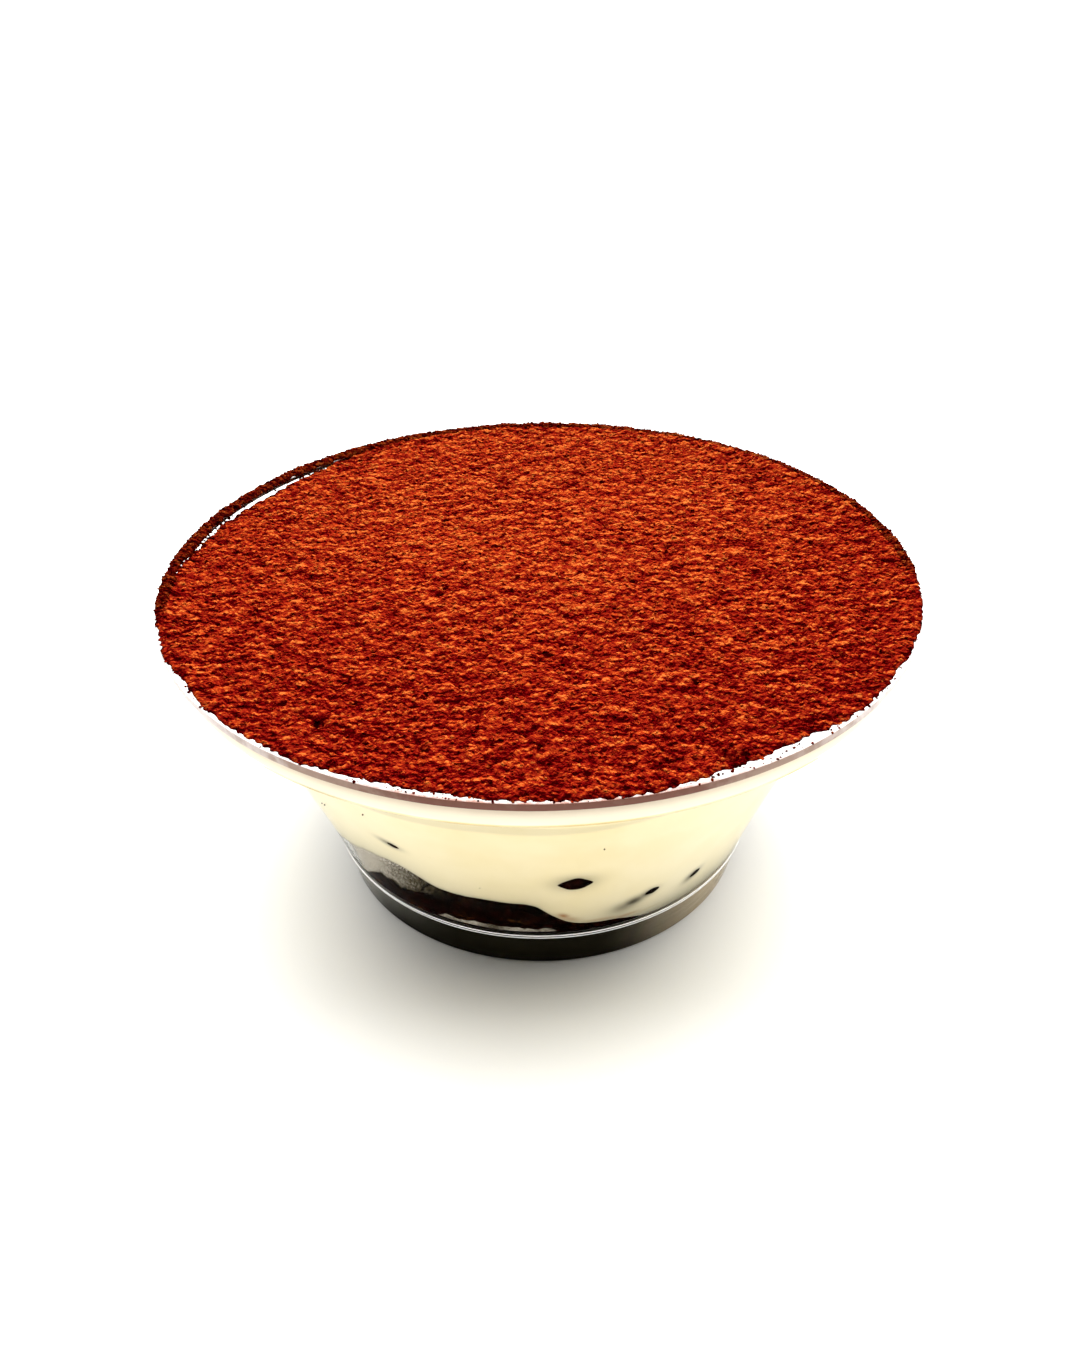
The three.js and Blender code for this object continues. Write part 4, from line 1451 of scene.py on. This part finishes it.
class TIRAMISU_OT_cocoa(bpy.types.Operator):
    """Builds the bed of cocoa powder, strews loose grains on it and dusts the rim."""

    bl_idname = "tiramisu.cocoa"
    bl_label = "Cocoa"

    def execute(self, context):
        settings = context.scene.tiramisu_cocoa
        powder = cocoa_material(settings, "Cocoa powder", POWDER_SHARE)
        dust = cocoa_material(settings, "Dark cocoa dust", settings.dust_share)
        bed = self.build_bed(settings, powder)
        self.strew(bed, "cocoa_grains", powder, GRAINS)
        self.strew(bed, "cocoa_fines", powder, FINES)
        self.dust_rim(settings, dust)
        self.drop_crumbs(dust)
        self.drop_specks(dust)
        return {"FINISHED"}

    def build_bed(self, settings, material):
        """The bed, with its side down the collar and its underside on the cream."""
        rings = settings.rings
        top, lift, hollow, least = bed_points(rings)
        faces = [*disc_faces(rings)]
        count = 6 * rings
        turn = np.arange(count) / count * math.tau
        azimuths = np.degrees(turn)
        start = len(top) - count
        outer = top[start:]
        inner_wall = collar_radius(CUP_HEIGHT) - WALL
        edge_radius = np.minimum(np.hypot(outer[:, 0], outer[:, 1]) - NEAR, inner_wall)
        under_edge = place(azimuths, edge_radius, outer[:, 2] - 0.02 * MM)
        low = surface_height(under_edge[:, 0], under_edge[:, 1]) - COCOA_THICKNESS
        bottom_edge = place(azimuths, collar_radius(low) - WALL + REACH, low)
        deep = []
        for radius, under in ((DEEP_FROM + 0.4 * MM, COCOA_THICKNESS), (DEEP_FROM - 0.1 * MM, COCOA_DEPTH),
                              (25 * MM, COCOA_DEPTH)):
            x, y = radius * np.cos(turn), radius * np.sin(turn)
            deep.append(np.stack([x, y, surface_height(x, y) - under - NEAR], axis=-1))
        middle_point = [[0, 0, SURFACE_HEIGHT - COCOA_DEPTH - NEAR]]
        points = np.concatenate([top, under_edge, bottom_edge, *deep, middle_point])
        rows = [start + np.arange(count)] + [len(top) + step * count + np.arange(count) for step in range(5)]
        for upper, lower in zip(rows, rows[1:]):
            faces.extend(np.stack([lower, np.roll(lower, -1), np.roll(upper, -1), upper], axis=-1))
        middle = np.full(count, len(points) - 1)
        faces.extend(np.stack([rows[-1], middle, np.roll(rows[-1], -1)], axis=-1))
        rest = np.zeros(5 * count + 1)
        host = new_piece("bed_host", points, faces, {
            "lift": np.concatenate([lift, rest]), "hollow": np.concatenate([hollow, rest]),
            "least": np.concatenate([least, rest]),
        })
        bed = grown("cocoa_bed", host, relief_tree(), {
            "Relief": settings.relief, "Pit depth": settings.pit_depth, "Material": material,
        })
        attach(bed, BODY)
        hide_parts("cocoa")
        return bed

    def strew(self, bed, name, material, kind):
        """Strews one kind of lump over the bed's top, clear of its pits."""
        host = bed.copy()
        host.data = bed.data.copy()
        host.name = name + "_host"
        bpy.context.scene.collection.objects.link(host)
        on_top = kept(host.data, "lift") > 0.3
        keep(host.data, "density", on_top & (kept(host.data, "crest") > 0))
        lumps = grown(name, host, scatter_tree(name + " strewn", 1), {**kind, "Material": material})
        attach(lumps, BODY)

    def dust_rim(self, settings, dust):
        """The band of cocoa dust caught on the flat rim round the back, with loose grains on it."""
        first, last = DUST_BAND
        azimuths = np.linspace(first, last, DUST_COLUMNS)
        ends = rise(azimuths, first, first + DUST_ENDS) * rise(-azimuths, -last, DUST_ENDS - last)
        steps = np.arange(2160) / 6
        inner_jag, outer_jag = (
            np.interp(azimuths % 360, steps, wobble(seed, 260, len(steps), 3)) for seed in (51, 52)
        )
        inner = collar_radius(CUP_HEIGHT) - WALL + (0.38 * inner_jag - 0.05 - 0.3 * lowness(azimuths)) * MM
        outer = RIM_RADIUS - (0.08 + 0.14 * outer_jag) * MM
        inner = outer - (outer - inner) * (0.25 + 0.75 * ends)
        rows, lifts = [], []
        across = np.linspace(0, 1, 11)
        for share in across:
            hump = math.sqrt(max(0.0, 1 - (2 * share - 1) ** 2)) * DUST_THICKNESS
            rows.append(place(azimuths, inner + (outer - inner) * share, CUP_HEIGHT + hump * ends))
            lifts.append(ends * (EDGE_LIFT if 0 < share < 1 else 0.1))
        for share in across[::-1]:
            radius = inner + (outer - inner) * (0.04 + 0.92 * share)
            rows.append(place(azimuths, radius, CUP_HEIGHT - 0.06 * MM))
            lifts.append(ends * 0)
        points = np.concatenate(rows)
        number = np.arange(len(points)).reshape(len(rows), -1)
        over = np.roll(number, -1, axis=0)
        sides = np.stack([number[:, :-1], over[:, :-1], over[:, 1:], number[:, 1:]], axis=-1)
        faces = [*sides.reshape(-1, 4), number[::-1, 0], number[:, -1]]
        host = new_piece("rim_host", points, faces, {
            "lift": np.concatenate(lifts), "hollow": np.zeros(len(points)), "least": np.zeros(len(points)),
        })
        band = grown("rim_dust", host, relief_tree(), {
            "Relief": settings.relief * 2, "Pit depth": 0.0, "Material": dust,
        })
        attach(band, BODY)
        self.strew(band, "rim_grains", dust, RIM_GRAINS)

    def drop_crumbs(self, dust):
        """A few crumbs caught on the rim outside the cocoa."""
        random = np.random.default_rng(61)
        rows = [place(AZIMUTHS, radius, CUP_HEIGHT - 0.02 * MM) for radius in CRUMB_BAND]
        points = np.concatenate(rows)
        number = np.arange(len(points)).reshape(2, -1)
        beside = np.roll(number, -1, axis=1)
        faces = np.stack([number[0], number[1], beside[1], beside[0]], axis=-1)
        thick = 0.02 + swell(AZIMUTHS, (-40, 11)) * random.uniform(0, 1, len(AZIMUTHS))
        thick = thick + 0.25 * swell(AZIMUTHS, (-150, 25))
        front = 1.4 * swell(AZIMUTHS, (-90, 60)) * random.uniform(0.3, 1, len(AZIMUTHS))
        inside = collar_radius(CUP_HEIGHT) - WALL
        gap = [place(AZIMUTHS, inside, CUP_HEIGHT - down) for down in (1.1 * MM, 0.1 * MM)]
        faces = np.concatenate([faces, faces[:, ::-1] + len(points)])
        points = np.concatenate([points, *gap])
        in_gap = sum(share * swell(AZIMUTHS, stretch) for stretch, share in GAP_CRUMBS)
        host = new_piece("crumb_host", points, faces, {
            "density": np.concatenate([thick + front, thick, in_gap, in_gap]),
        })
        crumbs = grown("rim_crumbs", host, scatter_tree("Rim crumbs", 2), {**RIM_CRUMBS, "Material": dust})
        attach(crumbs, BODY)

    def drop_specks(self, dust):
        """A few specks of cocoa stuck to the outside of the cup."""
        random = np.random.default_rng(62)
        points, faces = [], []
        for azimuth, height, size in WALL_SPECKS:
            middle = place(np.array([azimuth]), body_radius(height * MM) + 0.02 * MM, height * MM)[0]
            turn = np.arange(8) * 45.0
            skin, sides = closed_skin([
                place(turn, math.sin(polar), -math.cos(polar)) for polar in np.linspace(0, math.pi, 6)
            ])
            skin = skin * random.uniform(0.7, 1.3, (len(skin), 1)) * size / 2 * MM
            faces += [side + sum(len(part) for part in points) for side in sides]
            points.append(middle + skin)
        specks = new_piece("wall_specks", np.concatenate(points), faces, {
            "crest": np.full(sum(len(part) for part in points), 0.3),
        })
        specks.data.materials.append(dust)
        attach(specks, BODY)


class TIRAMISU_OT_stage(bpy.types.Operator):
    """Sets up the pale floor, the soft light and the camera."""

    bl_idname = "tiramisu.stage"
    bl_label = "Stage"

    def execute(self, context):
        settings = context.scene.tiramisu_stage
        scene = context.scene
        scene.view_settings.view_transform = "Standard"
        corners = [(across * TABLE_REACH, along * TABLE_REACH, -TABLE_DROP)
                   for across, along in ((-1, -1), (1, -1), (1, 1), (-1, 1))]
        floor = new_piece("table_top", corners, [np.arange(4)])
        floor.data.materials.append(floor_material(settings))
        scene.world = self.soft_box(settings)
        self.hang_lamp(scene, settings)
        self.set_camera(scene, settings)
        return {"FINISHED"}

    def hang_lamp(self, scene, settings):
        """A weak lamp behind that lights only the cocoa."""
        remove_old("overhead_lamp")
        lamp = bpy.data.lights.new("overhead_lamp", "AREA")
        lamp.shape = "DISK"
        lamp.size = LAMP_SIZE
        lamp.energy = settings.lamp
        lamp_object = bpy.data.objects.new("overhead_lamp", lamp)
        lamp_object.location = LAMP_PLACE
        aim = Vector(LAMP_AIM) - lamp_object.location
        lamp_object.rotation_euler = aim.to_track_quat("-Z", "Y").to_euler()
        scene.collection.objects.link(lamp_object)
        lit = bpy.data.collections.new("Lit by the lamp")
        for name in POWDER:
            if name not in bpy.data.objects:
                raise RuntimeError(f"The lamp lights {name}, so the cocoa is built before the stage")
            lit.objects.link(bpy.data.objects[name])
        lamp_object.light_linking.receiver_collection = lit

    def set_camera(self, scene, settings):
        """The camera, low in front of the cup."""
        remove_old("camera")
        lens = bpy.data.cameras.new("camera")
        lens.lens = LENS
        lens.clip_start = 0.01
        lens.clip_end = 20
        camera = bpy.data.objects.new("camera", lens)
        tilt = Euler((math.pi / 2 - settings.camera_pitch, 0, 0)).to_matrix()
        camera.rotation_euler = (tilt @ Matrix.Rotation(settings.camera_roll, 3, "Z")).to_euler()
        camera.location = settings.camera_place
        scene.collection.objects.link(camera)
        scene.camera = camera

    def soft_box(self, settings):
        """Light from all round, strong overhead and weak near the horizon, on a white backdrop."""
        world = bpy.data.worlds.new("Soft studio")
        world.use_nodes = True
        world.node_tree.nodes.clear()
        sheet = Sheet(world.node_tree)
        aim = sheet.add("ShaderNodeTexCoord").outputs["Generated"]
        parts = sheet.add("ShaderNodeSeparateXYZ", {0: aim})
        up = sheet.math("MAXIMUM", parts.outputs["Z"], 0.001)
        low = sheet.between(parts.outputs["Y"], -0.5, 0.5, settings.front, settings.behind)
        high = settings.overhead
        for part, (start, end) in (("X", PANEL_ACROSS), ("Y", PANEL_ALONG)):
            slope = sheet.math("DIVIDE", parts.outputs[part], up)
            inside = sheet.between(slope, start - PANEL_SOFTNESS, start + PANEL_SOFTNESS)
            high = sheet.math("MULTIPLY", high, inside)
            inside = sheet.between(slope, end - PANEL_SOFTNESS, end + PANEL_SOFTNESS, 1.0, 0.0)
            high = sheet.math("MULTIPLY", high, inside)
        strength = sheet.math("ADD", low, high)
        path = sheet.add("ShaderNodeLightPath")
        seen = sheet.math("MAXIMUM", path.outputs["Is Camera Ray"], path.outputs["Is Transmission Ray"])
        seen = sheet.math("MAXIMUM", seen, path.outputs["Is Glossy Ray"])
        light = sheet.add("ShaderNodeBackground", {"Color": WHITE, "Strength": strength})
        backdrop = sheet.add("ShaderNodeBackground", {"Color": WHITE, "Strength": 1.0})
        mixed = sheet.add("ShaderNodeMixShader", {0: seen, 1: light, 2: backdrop})
        sheet.add("ShaderNodeOutputWorld", {"Surface": mixed})
        return world


class TIRAMISU_PT_panel(bpy.types.Panel):
    """Sizes, colours and the steps of building the dessert."""

    bl_idname = "TIRAMISU_PT_panel"
    bl_label = "Tiramisu"
    bl_space_type = "VIEW_3D"
    bl_region_type = "UI"
    bl_category = "Tiramisu"

    def draw(self, context):
        for label in GROUPS:
            settings = getattr(context.scene, "tiramisu_" + label)
            box = self.layout.box()
            for name in settings.__annotations__:
                box.prop(settings, name)
            box.operator("tiramisu." + label)


GROUPS = {
    "cup": TIRAMISU_PG_cup,
    "cream": TIRAMISU_PG_cream,
    "sponge": TIRAMISU_PG_sponge,
    "cocoa": TIRAMISU_PG_cocoa,
    "stage": TIRAMISU_PG_stage,
}
CLASSES = (
    *GROUPS.values(), TIRAMISU_OT_cup, TIRAMISU_OT_cream, TIRAMISU_OT_sponge, TIRAMISU_OT_cocoa,
    TIRAMISU_OT_stage, TIRAMISU_PT_panel,
)


def register():
    """Adds the classes and their settings to Blender."""
    for one in CLASSES:
        bpy.utils.register_class(one)
    for label, group in GROUPS.items():
        setattr(bpy.types.Scene, "tiramisu_" + label, PointerProperty(type=group))


def unregister():
    """Takes them out again."""
    for label in GROUPS:
        delattr(bpy.types.Scene, "tiramisu_" + label)
    for one in reversed(CLASSES):
        bpy.utils.unregister_class(one)


def main():
    """Builds the whole dessert and its stage."""
    register()
    bpy.ops.tiramisu.cup()
    bpy.ops.tiramisu.cream()
    bpy.ops.tiramisu.sponge()
    bpy.ops.tiramisu.cocoa()
    bpy.ops.tiramisu.stage()


if __name__ == "__main__":
    main()
